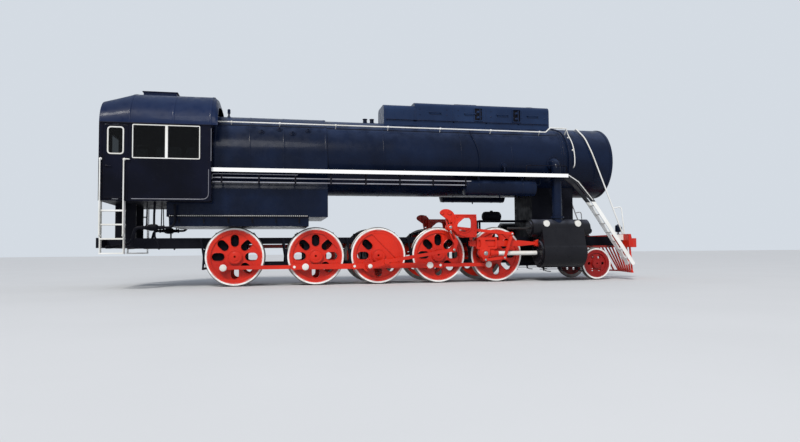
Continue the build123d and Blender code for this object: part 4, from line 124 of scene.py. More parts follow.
class Graph:
    """Short ways to add the nodes of one material, in the object's own coordinates."""

    def __init__(self, name):
        self.material = bpy.data.materials.new(name)
        self.material.use_nodes = True
        self.tree = self.material.node_tree
        self.shader = self.tree.nodes["Principled BSDF"]
        self.point = self.add("TexCoord").outputs["Object"]

    def add(self, kind, inputs=None, **settings):
        node = self.tree.nodes.new(f"ShaderNode{kind}")
        for key, value in settings.items():
            setattr(node, key, value)
        self.put(node, inputs or {})
        return node

    def put(self, node, inputs):
        """Links or constants for a node's inputs; a colour constant has three numbers."""
        for key, value in inputs.items():
            socket = node.inputs[key]
            if isinstance(value, bpy.types.NodeSocket):
                self.tree.links.new(value, socket)
            elif socket.type == "RGBA":
                socket.default_value = (*value, 1.0)
            else:
                socket.default_value = value

    def noise(self, scale, detail=3.0, stretch=(1, 1, 1)):
        placed = self.add("Mapping", {"Vector": self.point, "Scale": stretch}).outputs["Vector"]
        return self.add("TexNoise", {"Vector": placed, "Scale": scale, "Detail": detail}).outputs["Fac"]

    def ramp(self, value, low, high, start=0.0, end=1.0):
        inputs = {"Value": value, "From Min": low, "From Max": high, "To Min": start, "To Max": end}
        return self.add("MapRange", inputs, interpolation_type="SMOOTHSTEP").outputs["Result"]

    def math(self, operation, first, second=0.0):
        return self.add("Math", {0: first, 1: second}, operation=operation).outputs["Value"]

    def mix(self, share, first, second):
        return self.add("Mix", {"Factor": share, 6: first, 7: second}, data_type="RGBA").outputs[2]

    def axis(self, name, vector=None):
        return self.add("SeparateXYZ", {0: vector or self.point}).outputs[name]

    def face_normal(self):
        return self.add("NewGeometry").outputs["Normal"]

    def round_normal(self, radius):
        """Normal as if the edges were rounded."""
        return self.add("Bevel", {"Radius": radius}, samples=4).outputs["Normal"]

    def edges(self):
        """Share from 0 on flat faces to 1 on sharp edges."""
        inputs = {0: self.round_normal(0.006), 1: self.face_normal()}
        alike = self.add("VectorMath", inputs, operation="DOT_PRODUCT").outputs["Value"]
        return self.ramp(alike, 0.98, 0.8)

    def upward(self):
        """Share from 0 on walls and undersides to 1 on faces that look up."""
        return self.ramp(self.axis("Z", self.face_normal()), 0.3, 0.95)

    def bump(self, heights, edge_radius=0.005):
        """Bumps, each (height, distance in metres), one on the other, over slightly rounded edges."""
        normal = self.round_normal(edge_radius)
        for height, distance in heights:
            inputs = {"Height": height, "Distance": distance, "Normal": normal}
            normal = self.add("Bump", inputs).outputs["Normal"]
        self.put(self.shader, {"Normal": normal})


DUST = (0.1, 0.095, 0.09)
PRIMER = (0.2, 0.09, 0.05)


def paint(name, colour, faded, rough, coat, wavy=0.002, dust_and_sheen=0.18, wear=0.5, level=0.25, top=DUST, band=None):
    """Old painted plate: faded patches, streaks, dirt and painted sheen on top, worn edges, brush marks and
    dented plate.

    top is the colour of faces that look up: dirt with the DUST colour, a painted sky reflection with the
    lighter blue tops of the black paints. band is (colour, axis name, start): another paint where the
    distance along the axis is over the start.
    """
    g = Graph(name)
    tone = g.mix(g.ramp(g.noise(0.9, 4), 0.35, 0.7), colour, faded)
    tone = g.mix(g.ramp(g.noise(5.0, 4, (1.6, 1.6, 0.12)), 0.5, 0.75, 0.0, 0.15), tone, faded)
    if band:
        other, axis_name, start = band
        inside = g.math("GREATER_THAN", g.math("ABSOLUTE", g.axis(axis_name)), start)
        tone = g.mix(inside, tone, g.mix(g.ramp(g.noise(7.0, 5), 0.4, 0.8, 0.0, 0.3), other, DUST))
    # Faces that look up take the top colour: dirt in the DUST colour, and on the black paints a lighter blue
    # that is a painted highlight of the sky.
    dirt_and_sheen_on_top = g.math("MULTIPLY", g.upward(), g.ramp(g.noise(3.0, 5), 0.3, 0.7, 0.2, 1.0))
    tone = g.mix(g.math("MULTIPLY", dirt_and_sheen_on_top, dust_and_sheen), tone, top)
    chips = g.math("MULTIPLY", g.edges(), g.ramp(g.noise(38.0, 4), 0.5, 0.68, 0.0, wear))
    uneven = g.ramp(g.noise(6.0, 4), 0.3, 0.7, rough * 0.75, rough * 1.3)
    g.put(g.shader, {
        "Base Color": g.mix(chips, tone, PRIMER),
        "Roughness": g.math("ADD", uneven, g.math("MULTIPLY", dirt_and_sheen_on_top, 0.25)),
        "Specular IOR Level": level,
        "Coat Weight": coat,
        "Coat Roughness": 0.06,
    })
    g.bump(((g.noise(1.7, 2), wavy), (g.noise(60.0, 3, (1, 1, 0.25)), 0.0003), (g.noise(320.0, 2), 0.0001)))
    return g.material


def bare_steel(name, colour, rough, rust=0.3, tyre=None):
    """Worked steel with fine scratches and a little rust.

    tyre is (colour, centre, radius): a tyre's outer face is painted in that colour out to the radius
    about its centre, and white beyond.
    """
    g = Graph(name)
    scratches = g.noise(90.0, 4, (1, 0.15, 1))
    tone = g.mix(g.ramp(g.noise(2.5, 5), 0.3, 0.7), colour, [0.55 * part for part in colour])
    spots = g.ramp(g.noise(14.0, 6), 0.56, 0.72, 0.0, rust)
    tone = g.mix(spots, tone, (0.13, 0.05, 0.025))
    metal = g.math("SUBTRACT", 1.0, spots)
    if tyre:
        inner_colour, (centre_x, centre_z), radius = tyre
        painted = g.math("GREATER_THAN", g.math("ABSOLUTE", g.axis("Y")), TYRE_FACE_Y - 0.002)
        across = g.math("SUBTRACT", g.axis("X"), centre_x)
        up = g.math("SUBTRACT", g.axis("Z"), centre_z)
        squares = g.math("ADD", g.math("MULTIPLY", across, across), g.math("MULTIPLY", up, up))
        outer = g.math("GREATER_THAN", g.math("SQRT", squares), radius)
        worn = g.ramp(g.noise(11.0, 5), 0.45, 0.75, 0.0, 0.45)
        face = g.mix(worn, g.mix(outer, inner_colour, WHITE), (0.32, 0.29, 0.27))
        tone = g.mix(painted, tone, face)
        metal = g.math("MULTIPLY", metal, g.math("SUBTRACT", 1.0, painted))
    shine = g.ramp(scratches, 0.3, 0.7, rough * 0.8, rough * 1.35)
    g.put(g.shader, {"Base Color": tone, "Metallic": metal, "Roughness": shine})
    g.bump(((scratches, 0.0003), (spots, 0.0006)))
    return g.material


def glass():
    """Old window glass, dark from outside, faintly dusty and uneven: its near-black tint is painted shade,
    standing for the unlit inside of the cab.
    """
    g = Graph("window_glass")
    g.put(g.shader, {
        "Base Color": g.mix(g.ramp(g.noise(4.0, 4), 0.4, 0.8), (0.05, 0.057, 0.06), (0.036, 0.04, 0.042)),
        "Roughness": g.ramp(g.noise(9.0, 5), 0.4, 0.8, 0.02, 0.12),
        "Transmission Weight": 1.0,
        "IOR": 1.25,
    })
    g.bump(((g.noise(2.0, 2), 0.0012),), 0.002)
    return g.material


def leather():
    """Cracked seat leather: pebbled grain, creases, polished high places."""
    g = Graph("seat_leather")
    cells = g.add("TexVoronoi", {"Vector": g.point, "Scale": 260.0}, feature="DISTANCE_TO_EDGE")
    grain = g.ramp(cells.outputs["Distance"], 0.0, 0.3)
    creases = g.noise(22.0, 6, (1, 2.4, 1))
    tone = g.mix(g.ramp(g.noise(6.0, 4), 0.3, 0.7), (0.1, 0.045, 0.022), (0.05, 0.022, 0.012))
    tone = g.mix(g.ramp(creases, 0.58, 0.68, 0.0, 0.6), tone, (0.22, 0.12, 0.07))
    g.put(g.shader, {"Base Color": tone, "Roughness": g.ramp(creases, 0.3, 0.7, 0.38, 0.62)})
    g.bump(((grain, 0.0006), (creases, 0.002)), 0.002)
    return g.material


def tread_plate():
    """Running boards: chequered black plate with the white painted edge towards the side."""
    g = Graph("board_plate")
    slanted = g.add("Mapping", {"Vector": g.point, "Rotation": (0, 0, radians(45))}).outputs["Vector"]
    inputs = {"Vector": slanted, "Scale": 26.0, "Mortar Size": 0.18}
    checks = g.add("TexBrick", inputs, offset=0.5, squash=1.0).outputs["Fac"]
    top = g.upward()
    black = g.mix(g.ramp(g.noise(1.2, 4), 0.35, 0.7), (0.008, 0.01, 0.018), (0.02, 0.024, 0.035))
    black = g.mix(g.math("MULTIPLY", top, g.ramp(g.noise(3.0, 5), 0.3, 0.7, 0.1, 0.5)), black, DUST)
    scuffs = g.ramp(g.noise(5.0, 6, (0.4, 1, 1)), 0.5, 0.8, 0.0, 0.25)
    white = g.mix(scuffs, (0.9, 0.9, 0.89), (0.45, 0.42, 0.36))
    edge = g.math("GREATER_THAN", g.math("ABSOLUTE", g.axis("Y")), board_high.y - 0.002)
    shine = g.ramp(g.noise(8.0, 4), 0.3, 0.7, 0.32, 0.55)
    g.put(g.shader, {"Base Color": g.mix(edge, black, white), "Roughness": shine})
    g.bump(((g.math("MULTIPLY", checks, top), -0.0015), (g.noise(60.0, 3), 0.0004)))
    return g.material


# NAVY and NAVY_FADED are black paint with a painted blue sky reflection in the colour; NAVY_TOP_SHEEN, the
# lighter blue of faces that look up, is a painted highlight.
NAVY = (0.003, 0.006, 0.018)
NAVY_FADED = (0.005, 0.011, 0.033)
NAVY_TOP_SHEEN = (0.035, 0.055, 0.12)
SOOT = (0.004, 0.0045, 0.008)
SOOT_FADED = (0.009, 0.0095, 0.015)
SCARLET = (0.64, 0.022, 0.006)
SCARLET_FADED = (0.46, 0.013, 0.005)
# SCARLET_IN_SHADE is the scarlet darkened for the leading wheels: painted shade.
SCARLET_IN_SHADE = (0.27, 0.007, 0.006)
WHITE = (0.82, 0.82, 0.8)
WHITE_FADED = (0.66, 0.65, 0.6)
TYRE_GREY = (0.3, 0.29, 0.28)
DRIVER_RING_R, LEADING_RING_R = 0.706, 0.408
PIN_FACE_Y = 0.9915
STAIR_TOP = above(2.22)

# Boiler and casing: copies of one black paint, tinted blue by a painted sky reflection, the casing's copy
# lighter; their NAVY_TOP_SHEEN tops are a painted highlight.
boiler_paint = paint("boiler_paint", NAVY, NAVY_FADED, 0.27, 0.06, 0.004, 0.75, level=0.1, top=NAVY_TOP_SHEEN)
casing_paint = paint("casing_paint", (0.008, 0.019, 0.055), (0.014, 0.032, 0.085), 0.3, 0.08, 0.004, 0.6,
                     level=0.13, top=NAVY_TOP_SHEEN)
# Cab: a blacker, less blue copy of the same black paint, which is painted shade, on the inner faces of the
# cab too.
cab_paint = paint("cab_paint", (0.003, 0.0035, 0.0075), (0.005, 0.006, 0.015), 0.22, 0.04, 0.003, 0.4,
                  level=0.06, top=NAVY_TOP_SHEEN)
# Roof: the same black paint with a painted blue sky reflection, and a lighter blue top that is a painted
# highlight.
roof_paint = paint("roof_paint", (0.005, 0.012, 0.042), (0.008, 0.018, 0.058), 0.34, 0.05, 0.005, 0.5,
                   level=0.09, top=(0.028, 0.046, 0.1))
under_paint = paint("under_paint", SOOT, SOOT_FADED, 0.5, 0.0, dust_and_sheen=0.35, level=0.06)
# Cylinders: charcoal paint whose lighter blue-grey top colour is a painted highlight on faces that look up.
grey_paint = paint("grey_paint", (0.006, 0.006, 0.009), (0.011, 0.011, 0.014), 0.32, 0.08, 0.0015, 0.8,
                   level=0.14, top=(0.09, 0.098, 0.13))
red_paint = paint("red_paint", SCARLET, SCARLET_FADED, 0.32, 0.14, 0.0012, wear=0.35)
# The leading wheels' paint is a darker copy of the red: painted shade.
shaded_red_paint = paint("shaded_red_paint", SCARLET_IN_SHADE, (0.18, 0.006, 0.005), 0.4, 0.1, 0.0012)
white_paint = paint("white_paint", WHITE, WHITE_FADED, 0.4, 0.2, 0.0008, dust_and_sheen=0.3, wear=0.7)
bead_paint = paint("bead_paint", (0.3, 0.31, 0.35), (0.18, 0.18, 0.21), 0.45, 0.1, 0.0005)
wheel_paint = paint("wheel_paint", SCARLET, SCARLET_FADED, 0.32, 0.14, 0.0012, wear=0.35,
                    band=(WHITE, "Y", PIN_FACE_Y))
stair_paint = paint("stair_paint", WHITE, WHITE_FADED, 0.4, 0.2, 0.0008, band=(SOOT, "Z", STAIR_TOP))
# The leading tyres' faces take the same darker red, painted shade, inside their white rims.
leading_steel = bare_steel("leading_tyre_steel", TYRE_GREY, 0.42, 0.5,
                           (SCARLET_IN_SHADE, (LEADING_X, LEADING_Z), LEADING_RING_R))
rod_steel = bare_steel("rod_steel", (0.62, 0.61, 0.6), 0.3, 0.25)
dark_steel = bare_steel("dark_steel", (0.07, 0.068, 0.07), 0.4, 0.5)
fitting_brass = bare_steel("fitting_brass", (0.62, 0.42, 0.16), 0.3, 0.12)
window_glass = glass()
seat_leather = leather()

# Material of each node of the frame
NODE_MATERIALS = (
    (boiler_paint, "boiler_barrel smokebox smokebox_door firebox steam_pipes air_reservoirs ash_pan"),
    (casing_paint, "top_casing"),
    # cab_paint is painted shade: its blacker colour also darkens the cab's inner walls so that they look
    # unlit.
    (cab_paint, "cab_sides cab_door_right cab_door_left cab_front_wall cab_rear_wall headlamp"),
    (roof_paint, "cab_roof"),
    (under_paint, "smokebox_saddle frame_stretchers cab_floor drag_box frame_plates axle_boxes springs"),
    (under_paint, "brake_gear truck_frame"),
    (grey_paint, "cylinders"),
    (red_paint, "front_beam cowcatcher front_coupler motion_brackets eccentric_rods guide_bars radius_rods"),
    (red_paint, "combination_levers expansion_links union_links driver_wheelset_3 crossheads"),
    (wheel_paint, "coupling_rods_right coupling_rods_left driver_wheelset_1 driver_wheelset_2"),
    (wheel_paint, "driver_wheelset_4 driver_wheelset_5"),
    (shaded_red_paint, "leading_wheelset"),
    (leading_steel, "leading_tyres"),
    (dark_steel, "valve_spindles"),
    (white_paint, "cab_ladders handrails"),
    (stair_paint, "front_stairs"),
    (window_glass, "cab_glass door_glass_right door_glass_left"),
    (fitting_brass, "backhead_fittings"),
    (tread_plate(), "running_boards"),
    (seat_leather, "crew_seats"),
)


def coat(node, material):
    node.data.materials.clear()
    node.data.materials.append(material)


for material, names in NODE_MATERIALS:
    for name in names.split():
        coat(nodes[name], material)
for number, axle_x in AXLES.items():
    face = (SCARLET, (axle_x, AXLE_Z), DRIVER_RING_R)
    coat(nodes[f"driver_tyres_{number}"], bare_steel(f"tyre_steel_{number}", TYRE_GREY, 0.42, 0.5, face))


# Shapes in mesh code

def skin(bm, rings, joined=False):
    """Faces from each ring of points to the next; the ends are closed, or joined to each other.

    A ring of one point is a tip.
    """
    rings = [[bm.verts.new(point) for point in ring] for ring in rings]
    for first, second in zip(rings, rings[1:] + rings[:1] if joined else rings[1:]):
        count = max(len(first), len(second))
        for index in range(count):
            after = (index + 1) % count
            if len(first) == 1:
                bm.faces.new((first[0], second[index], second[after]))
            elif len(second) == 1:
                bm.faces.new((first[after], first[index], second[0]))
            else:
                bm.faces.new((first[index], second[index], second[after], first[after]))
    for ring in () if joined else (rings[0], rings[-1]):
        if len(ring) > 1:
            bm.faces.new(ring)


def lathe(bm, profile, centre, direction, steps=32, joined=False):
    """Turned shape: profile points are (radius, distance along the direction)."""
    turn = Vector(direction).to_track_quat("Z", "Y").to_matrix().to_4x4()
    place = Matrix.Translation(Vector(centre)) @ turn
    rings = []
    for radius, along in profile:
        ring = circle(radius, steps) if radius else [(0, 0)]
        rings.append([place @ Vector((*point, along)) for point in ring])
    skin(bm, rings, joined)


def torus(bm, centre, direction, ring_r, wire_r, steps=32, sides=8):
    profile = [(ring_r + out, along) for out, along in circle(wire_r, sides)]
    lathe(bm, profile, centre, direction, steps, joined=True)


def bolt(bm, centre, direction, radius, height):
    """Hexagon head with a chamfered top on a washer."""
    washer = ((0, 0), (1.5, 0), (1.5, 0.15), (1, 0.15))
    head = ((1.1, 0.1), (1.1, 0.85), (0.9, 1), (0, 1))
    for profile, steps in ((washer, 12), (head, 6)):
        lathe(bm, [(radius * out, height * up) for out, up in profile], centre, direction, steps)


def bolt_circle(bm, centre, direction, ring_r, count, start, radius, height):
    """Bolts in a circle across the axis that the direction is nearest to."""
    nearest = max(range(3), key=lambda axis: abs(direction[axis]))
    for offset in circle(ring_r, count, start):
        place = list(offset)
        place.insert(nearest, 0)
        bolt(bm, Vector(centre) + Vector(place), direction, radius, height)


def rivet(bm, centre, direction, radius):
    dome = ((1, 0), (0.8, 0.45), (0.4, 0.75), (0, 0.82))
    lathe(bm, [(radius * out, radius * up) for out, up in dome], centre, direction, 8)


def corner_curve(before, corner, after, bend, most, steps):
    """Curve that rounds a corner by about the bend's size, on at most a share of either run."""
    reach = min(bend, (corner - before).length * most, (after - corner).length * most)
    start = corner + (before - corner).normalized() * reach
    end = corner + (after - corner).normalized() * reach
    shares = spread(0, 1, steps + 1)
    return [start.lerp(corner, share).lerp(corner.lerp(end, share), share) for share in shares]


def rounded(points, bend):
    """Open route with rounded corners."""
    points = [Vector(point) for point in points]
    route = points[:1]
    for before, corner, after in zip(points, points[1:], points[2:]):
        route += corner_curve(before, corner, after, bend, 0.5, 6)
    return route + points[-1:]


def neighbours(outline):
    """Each point of a closed outline, between the one before and the one after it."""
    return zip(outline[-1:] + outline[:-1], outline, outline[1:] + outline[:1])


def soften(outline, bend, steps=4):
    """Closed outline with rounded corners."""
    made = []
    for before, corner, after in neighbours([Vector(point) for point in outline]):
        made += corner_curve(before, corner, after, bend, 0.45, steps)
    return made


def headings(route):
    """Direction of an open route at each of its points."""
    return [(after - before).normalized() for before, after in zip(route[:1] + route, route[1:] + route[-1:])]


def tube(bm, route, radius, sides=10):
    """Round bar along a route."""
    route = [Vector(point) for point in route]
    across = (route[1] - route[0]).orthogonal()
    rings = []
    for point, along in zip(route, headings(route)):
        across = (across - along * across.dot(along)).normalized()
        over = along.cross(across)
        rings.append([point + across * out + over * up for out, up in circle(radius, sides)])
    skin(bm, rings)


def strap(bm, path, x, width, proud):
    """Flat band across the engine that follows a path of (y, z) points, standing proud to the path's left."""
    path = [Vector(point) for point in path]
    sunk, bevel = 0.002, proud * 0.7
    section = ((-0.5, -sunk), (0.5, -sunk), (0.5, bevel), (0.42, proud), (-0.42, proud), (-0.5, bevel))
    rings = []
    for (y, z), along in zip(path, headings(path)):
        rings.append([(x + across * width, y - along.y * up, z + along.x * up) for across, up in section])
    skin(bm, rings)


def arc_path(radius, start, end, centre=(0, BOILER_Z), step=5.0):
    """Points of a circle from one angle to a smaller one, as (y, z) points."""
    angles = spread(start, end, int((start - end) / step) + 1)
    return [Vector(centre) + Vector(polar(radius, angle)) for angle in angles]


def rounded_box(length, height, corner, steps=5):
    """Outline of a rounded rectangle about the origin, as (across, up) points."""
    outline = []
    for sign_x, sign_y, start in ((1, 1, 0), (-1, 1, 90), (-1, -1, 180), (1, -1, 270)):
        centre = Vector((sign_x * (length / 2 - corner), sign_y * (height / 2 - corner)))
        for angle in spread(start, start + 90, steps + 1):
            outline.append(centre + Vector(polar(corner, angle)))
    return outline


def wall_frame(bm, side, centre, size, outer, inner, thickness):
    """Frame on a side wall round an opening of a size (length, height), with softened outer edges.

    outer and inner are the frame's outlines, each (how much larger than the opening, corner radius).
    """
    turn = Matrix(((-side, 0, 0), (0, 0, side), (0, 1, 0))).to_4x4()
    place = Matrix.Translation(Vector(centre)) @ turn
    outlines = [rounded_box(size[0] + more, size[1] + more, corner) for more, corner in (outer, inner)]
    edge = thickness * 0.7
    rings = []
    for share, level in ((0, 0), (0, edge), (0.15, thickness), (0.85, thickness), (1, edge), (1, 0)):
        rings.append([place @ Vector((*a.lerp(b, share), level)) for a, b in zip(*outlines)])
    skin(bm, rings, joined=True)


def block(bm, low, high, soft=0.004):
    """Box with chamfered edges between two corners."""
    corners = bmesh.ops.create_cube(bm, size=1.0)["verts"]
    low, high = Vector(low), Vector(high)
    for vertex in corners:
        vertex.co = (low + high) / 2 + vertex.co * (high - low)
    edges = {edge for vertex in corners for edge in vertex.link_edges}
    bmesh.ops.bevel(bm, geom=list(edges), offset=soft, segments=2, affect="EDGES", clamp_overlap=True)


def side_block(bm, side, x, y, z, soft):
    """Block on one side between pairs of places; y is counted outwards from the middle."""
    near, far = sorted(side * place for place in y)
    block(bm, (x[0], near, z[0]), (x[1], far, z[1]), soft)


def inset(outline, distance):
    """Closed outline moved inwards by the distance, corners mitred."""
    area = sum(before.cross(point) for before, point, after in neighbours(outline))
    turn = distance if area > 0 else -distance
    moved = []
    for before, corner, after in neighbours(outline):
        first, second = (corner - before).normalized(), (after - corner).normalized()
        normals = first.orthogonal() + second.orthogonal()
        moved.append(corner + turn * normals / max(0.3, 1 + first.dot(second)))
    return moved


def plate(bm, outline, side, near, far, soft=0.008):
    """Upright plate of a side view (ahead, above), between two distances from the middle."""
    outline = [Vector(point) for point in outline]
    small = inset(outline, soft)
    rings = []
    for points, level in ((small, near), (outline, near + soft), (outline, far - soft), (small, far)):
        rings.append([at(x, side * level, z) for x, z in points])
    skin(bm, rings)


def reach_of(outline, centre, angle):
    """Point where the ray from the centre leaves a closed outline."""
    way = Vector(polar(1, angle))
    best = 0.0
    for before, first, second in neighbours(outline):
        start, edge = first - Vector(centre), second - first
        cross = way.cross(edge)
        if abs(cross) < 1e-12:
            continue
        along, share = start.cross(edge) / cross, start.cross(way) / cross
        if along > best and -1e-9 <= share <= 1 + 1e-9:
            best = along
    return Vector(centre) + way * best


def cast_plate(bm, outline, hole, centre, side, near, far):
    """Cast plate with an opening, and raised rims round both edges."""
    rim, slope, soft = 0.03, 0.036, 0.005
    edge, sunk = far - 0.004, far - 0.014
    angles = [360 * step / 96 for step in range(96)]
    edges = [[reach_of(points, centre, angle) for points in (outline, hole)] for angle in angles]
    # Levels from the outer edge in, then out again from the hole: which edge, distance from it, level
    levels = ((0, 0, near), (0, 0, edge), (0, soft, far), (0, rim, far), (0, slope, sunk),
              (1, -slope, sunk), (1, -rim, far), (1, -soft, far), (1, 0, edge), (1, 0, near))
    rings = []
    for which, distance, level in levels:
        ring = []
        for pair in edges:
            x, z = pair[which] + (pair[1] - pair[0]).normalized() * distance
            ring.append(at(x, side * level, z))
        rings.append(ring)
    skin(bm, rings, joined=True)


def add_object(name, data):
    made = bpy.data.objects.new(name, data)
    bpy.context.scene.collection.objects.link(made)
    return made


def add_piece(name, shape, material, body, slot, *keys):
    """Piece from the mesh that the shape function fills: smooth by angle, riding on its body."""
    bm = bmesh.new()
    shape(bm, *keys)
    bmesh.ops.recalc_face_normals(bm, faces=bm.faces)
    mesh = bpy.data.meshes.new(name)
    bm.to_mesh(mesh)
    bm.free()
    mesh.shade_smooth()
    mesh.set_sharp_from_angle(angle=radians(35))
    mesh.materials.append(material)
    made = add_object(name, mesh)
    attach(made, body)
    return made


def piece(material, body="engine", slot=None):
    """Makes a shape function into the piece of its name."""
    return lambda shape: add_piece(shape.__name__, shape, material, body, slot)


def piece_for_each(keys, material, body="engine", slot=None):
    """Makes a shape function into one piece a key; the piece's name ends with the key, as the body's may."""
    def build(shape):
        name = shape.__name__
        return [add_piece(f"{name}_{key}", shape, material, body.format(key), slot, key) for key in keys]
    return build


# Boiler and smokebox

def crossing(radius, y_or_z):
    """Other distance from the axis, where a shell of the radius is at one distance from it."""
    return sqrt(radius ** 2 - y_or_z ** 2)


def side_route(side, points):
    """Route on one side through points (ahead, outwards from the middle, above)."""
    return [at(x, side * y, z) for x, y, z in points]


def shell_route(side, radius, points):
    """Route over the boiler's shell through points (angle, ahead)."""
    return [on_shell(distance, side, radius, angle) for angle, distance in points]


@piece(boiler_paint)
def boiler_bands(bm):
    """Bands of the boiler cladding, open where the top casing stands, and the smokebox rings."""
    ring = arc_path(BARREL_R, 90, -270)
    strap(bm, ring, ahead(0.15), 0.05, 0.005)
    for distance in (2.37, 3.87):
        strap(bm, arc_path(BARREL_R, 60.5, -240.5), ahead(distance), 0.05, 0.005)
    strap(bm, ring, ahead(5.41), 0.05, 0.006)
    for distance, width, proud in ((5.5, 0.08, 0.01), (6.97, 0.07, 0.014)):
        strap(bm, arc_path(SMOKEBOX_R, 90, -270), ahead(distance), width, proud)


@piece(boiler_paint)
def firebox_straps(bm):
    """Seams of the firebox cladding, over the crown from running board to running board."""
    path = [(-FIREBOX_R, BOARD_Z), *arc_path(FIREBOX_R, 180, 0), (FIREBOX_R, BOARD_Z)]
    places = ((-1.43, 0.06, 0.006), (-2.541, 0.05, 0.005), (-3.416, 0.05, 0.005), (-4.3, 0.06, 0.01))
    for distance, width, proud in places:
        strap(bm, path, ahead(distance), width, proud)


@piece(under_paint)
def cladding_seams_and_rail_shadows(bm):
    """Lengthwise seams of the cladding, a little below the boiler handrails; their near-black colour is
    painted shade for the handrails' shadow.
    """
    height = 4.22
    for shell_r, rear, front in ((BARREL_R, -1.4, 5.38), (FIREBOX_R, -4.27, -1.46)):
        y = crossing(shell_r, above(height) - BOILER_Z)
        for side in SIDES:
            tube(bm, side_route(side, ((rear, y, height), (front, y, height))), 0.008, 8)


@piece(under_paint)
def lubricator(bm):
    """Oil tank between the frames behind the cylinders, on two bars from posts to the saddle."""
    radius, half = 0.15, 0.29
    end = ((0, 0), (radius * 0.6, 0.01), (radius * 0.92, 0.05), (radius, 0.1))
    profile = [(out, along - half) for out, along in end]
    profile += [(out, half - along) for out, along in reversed(end)]
    lathe(bm, profile, at(3.59, 0, 1.87), FORWARD)
    lathe(bm, ((0.045, -0.01), (0.045, 0.02), (0.03, 0.03), (0, 0.03)), at(3.59, 0, 1.87 + radius), UP, 20)
    for side in SIDES:
        width = span(0.11, 0.025)
        side_block(bm, side, (ahead(3.15), ahead(4.61)), width, (above(1.7), above(1.76)), 0.004)
        side_block(bm, side, (ahead(3.15), ahead(3.2)), width, (above(1.24), above(1.72)), 0.004)


@piece(boiler_paint)
def washout_plugs(bm):
    """Plugs and inspection caps on the firebox shoulders."""
    places = ((-3.121, 31, 0.06), (-2.66, 36, 0.055), (-2.312, 30, 0.065), (-1.9, 35, 0.055))
    for side, (distance, angle, radius) in product(SIDES, places):
        centre, out = on_shell(distance, side, FIREBOX_R, angle), outwards(side, angle)
        cap = ((1.5, -0.004), (1.5, 0.012), (1, 0.016), (0.95, 0.035), (0.5, 0.04), (0, 0.04))
        lathe(bm, [(radius * share, level) for share, level in cap], centre, out, 24)
        bolt(bm, centre + out * 0.038, out, radius * 0.34, 0.03)


ANGLE_REAR, ANGLE_FRONT = fire_low.x + 0.05, ahead(-1.92)
ANGLE_FACE_Y = fire_high.y + 0.008


@piece(under_paint)
def foundation_angle(bm):
    """Angle at the firebox foot."""
    for side in SIDES:
        y, z = (fire_high.y, ANGLE_FACE_Y), (fire_low.z + 0.001, fire_low.z + 0.05)
        side_block(bm, side, (ANGLE_REAR, ANGLE_FRONT), y, z, 0.002)


@piece(white_paint)
def foundation_rivets(bm):
    """Bright rivets on the angle at the firebox foot."""
    for side, x in product(SIDES, spread(ANGLE_REAR + 0.03, ANGLE_FRONT - 0.03, 70)):
        rivet(bm, (x, side * ANGLE_FACE_Y, fire_low.z + 0.025), OUT[side], 0.014)


@piece(boiler_paint)
def smokebox_rivets(bm):
    for distance, step in product((5.5, 6.97), range(84)):
        angle = 360 * step / 84
        rivet(bm, on_shell(distance, 1, SMOKEBOX_R + 0.009, angle), outwards(1, angle), 0.012)


@piece(boiler_paint, "smokebox_door")
def door_dogs_and_wheel(bm):
    """Dogs round the smokebox door's edge, its centre boss and its handwheel."""
    door_r, wheel_r = (door_high.z - door_low.z) / 2, 0.16
    for y, up in circle(door_r - 0.035, 12, 15):
        dog = Vector((DOOR_FACE_X - 0.005, y, BOILER_Z + up))
        block(bm, dog + Vector((0, -0.022, -0.022)), dog + Vector((0.03, 0.022, 0.022)))
        bolt(bm, dog + Vector((0.028, 0, 0)), FORWARD, 0.014, 0.02)
    boss = Vector((DOOR_FACE_X, 0, BOILER_Z - 0.05))
    profile = ((0.09, -0.002), (0.09, 0.02), (0.05, 0.035), (0.03, 0.11), (0.02, 0.125), (0, 0.125))
    lathe(bm, profile, boss, FORWARD, 24)
    hub = boss + Vector((0.09, 0, 0))
    torus(bm, hub, FORWARD, wheel_r, 0.014)
    for offset in circle(wheel_r, 4, 45):
        tube(bm, (hub, hub + Vector((0, *offset))), 0.01, 8)


lamp_low, lamp_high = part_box("headlamp")
LAMP_R = (lamp_high.z - lamp_low.z) / 2
LAMP_FACE = Vector((lamp_high.x, 0, middle("headlamp").z))


@piece(rod_steel, "smokebox_door")
def lamp_rim(bm):
    """Rim of the headlamp, and the cap on its top."""
    torus(bm, LAMP_FACE, FORWARD, LAMP_R - 0.01, 0.012)
    cap = ((LAMP_R * 0.3, 0), (LAMP_R * 0.3, 0.02), (LAMP_R * 0.2, 0.03), (0, 0.03))
    lathe(bm, cap, LAMP_FACE + Vector((-0.09, 0, LAMP_R)), UP, 20)


@piece(window_glass, "smokebox_door")
def lamp_lens(bm):
    profile = ((LAMP_R - 0.02, -0.004), (LAMP_R - 0.022, 0.006), (LAMP_R * 0.6, 0.016), (0, 0.022))
    lathe(bm, profile, LAMP_FACE, FORWARD, 40)


# Cab

WINDOW_REAR, WINDOW_FRONT = ahead(-6.19), ahead(-4.61)
WINDOW_LOW, WINDOW_HIGH = above(3.184), above(4.018)
WINDOW_LENGTH, WINDOW_HEIGHT = WINDOW_FRONT - WINDOW_REAR, WINDOW_HIGH - WINDOW_LOW
WINDOW_X, WINDOW_Z = (WINDOW_REAR + WINDOW_FRONT) / 2, (WINDOW_LOW + WINDOW_HIGH) / 2
MULLION = 0.06


def node_frame(bm, node, side, y, outer, inner, thickness):
    """Frame on a side wall, round the side view of a node."""
    low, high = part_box(node)
    centre = (low + high) / 2
    centre.y = side * y
    wall_frame(bm, side, centre, (high - low).xz, outer, inner, thickness)


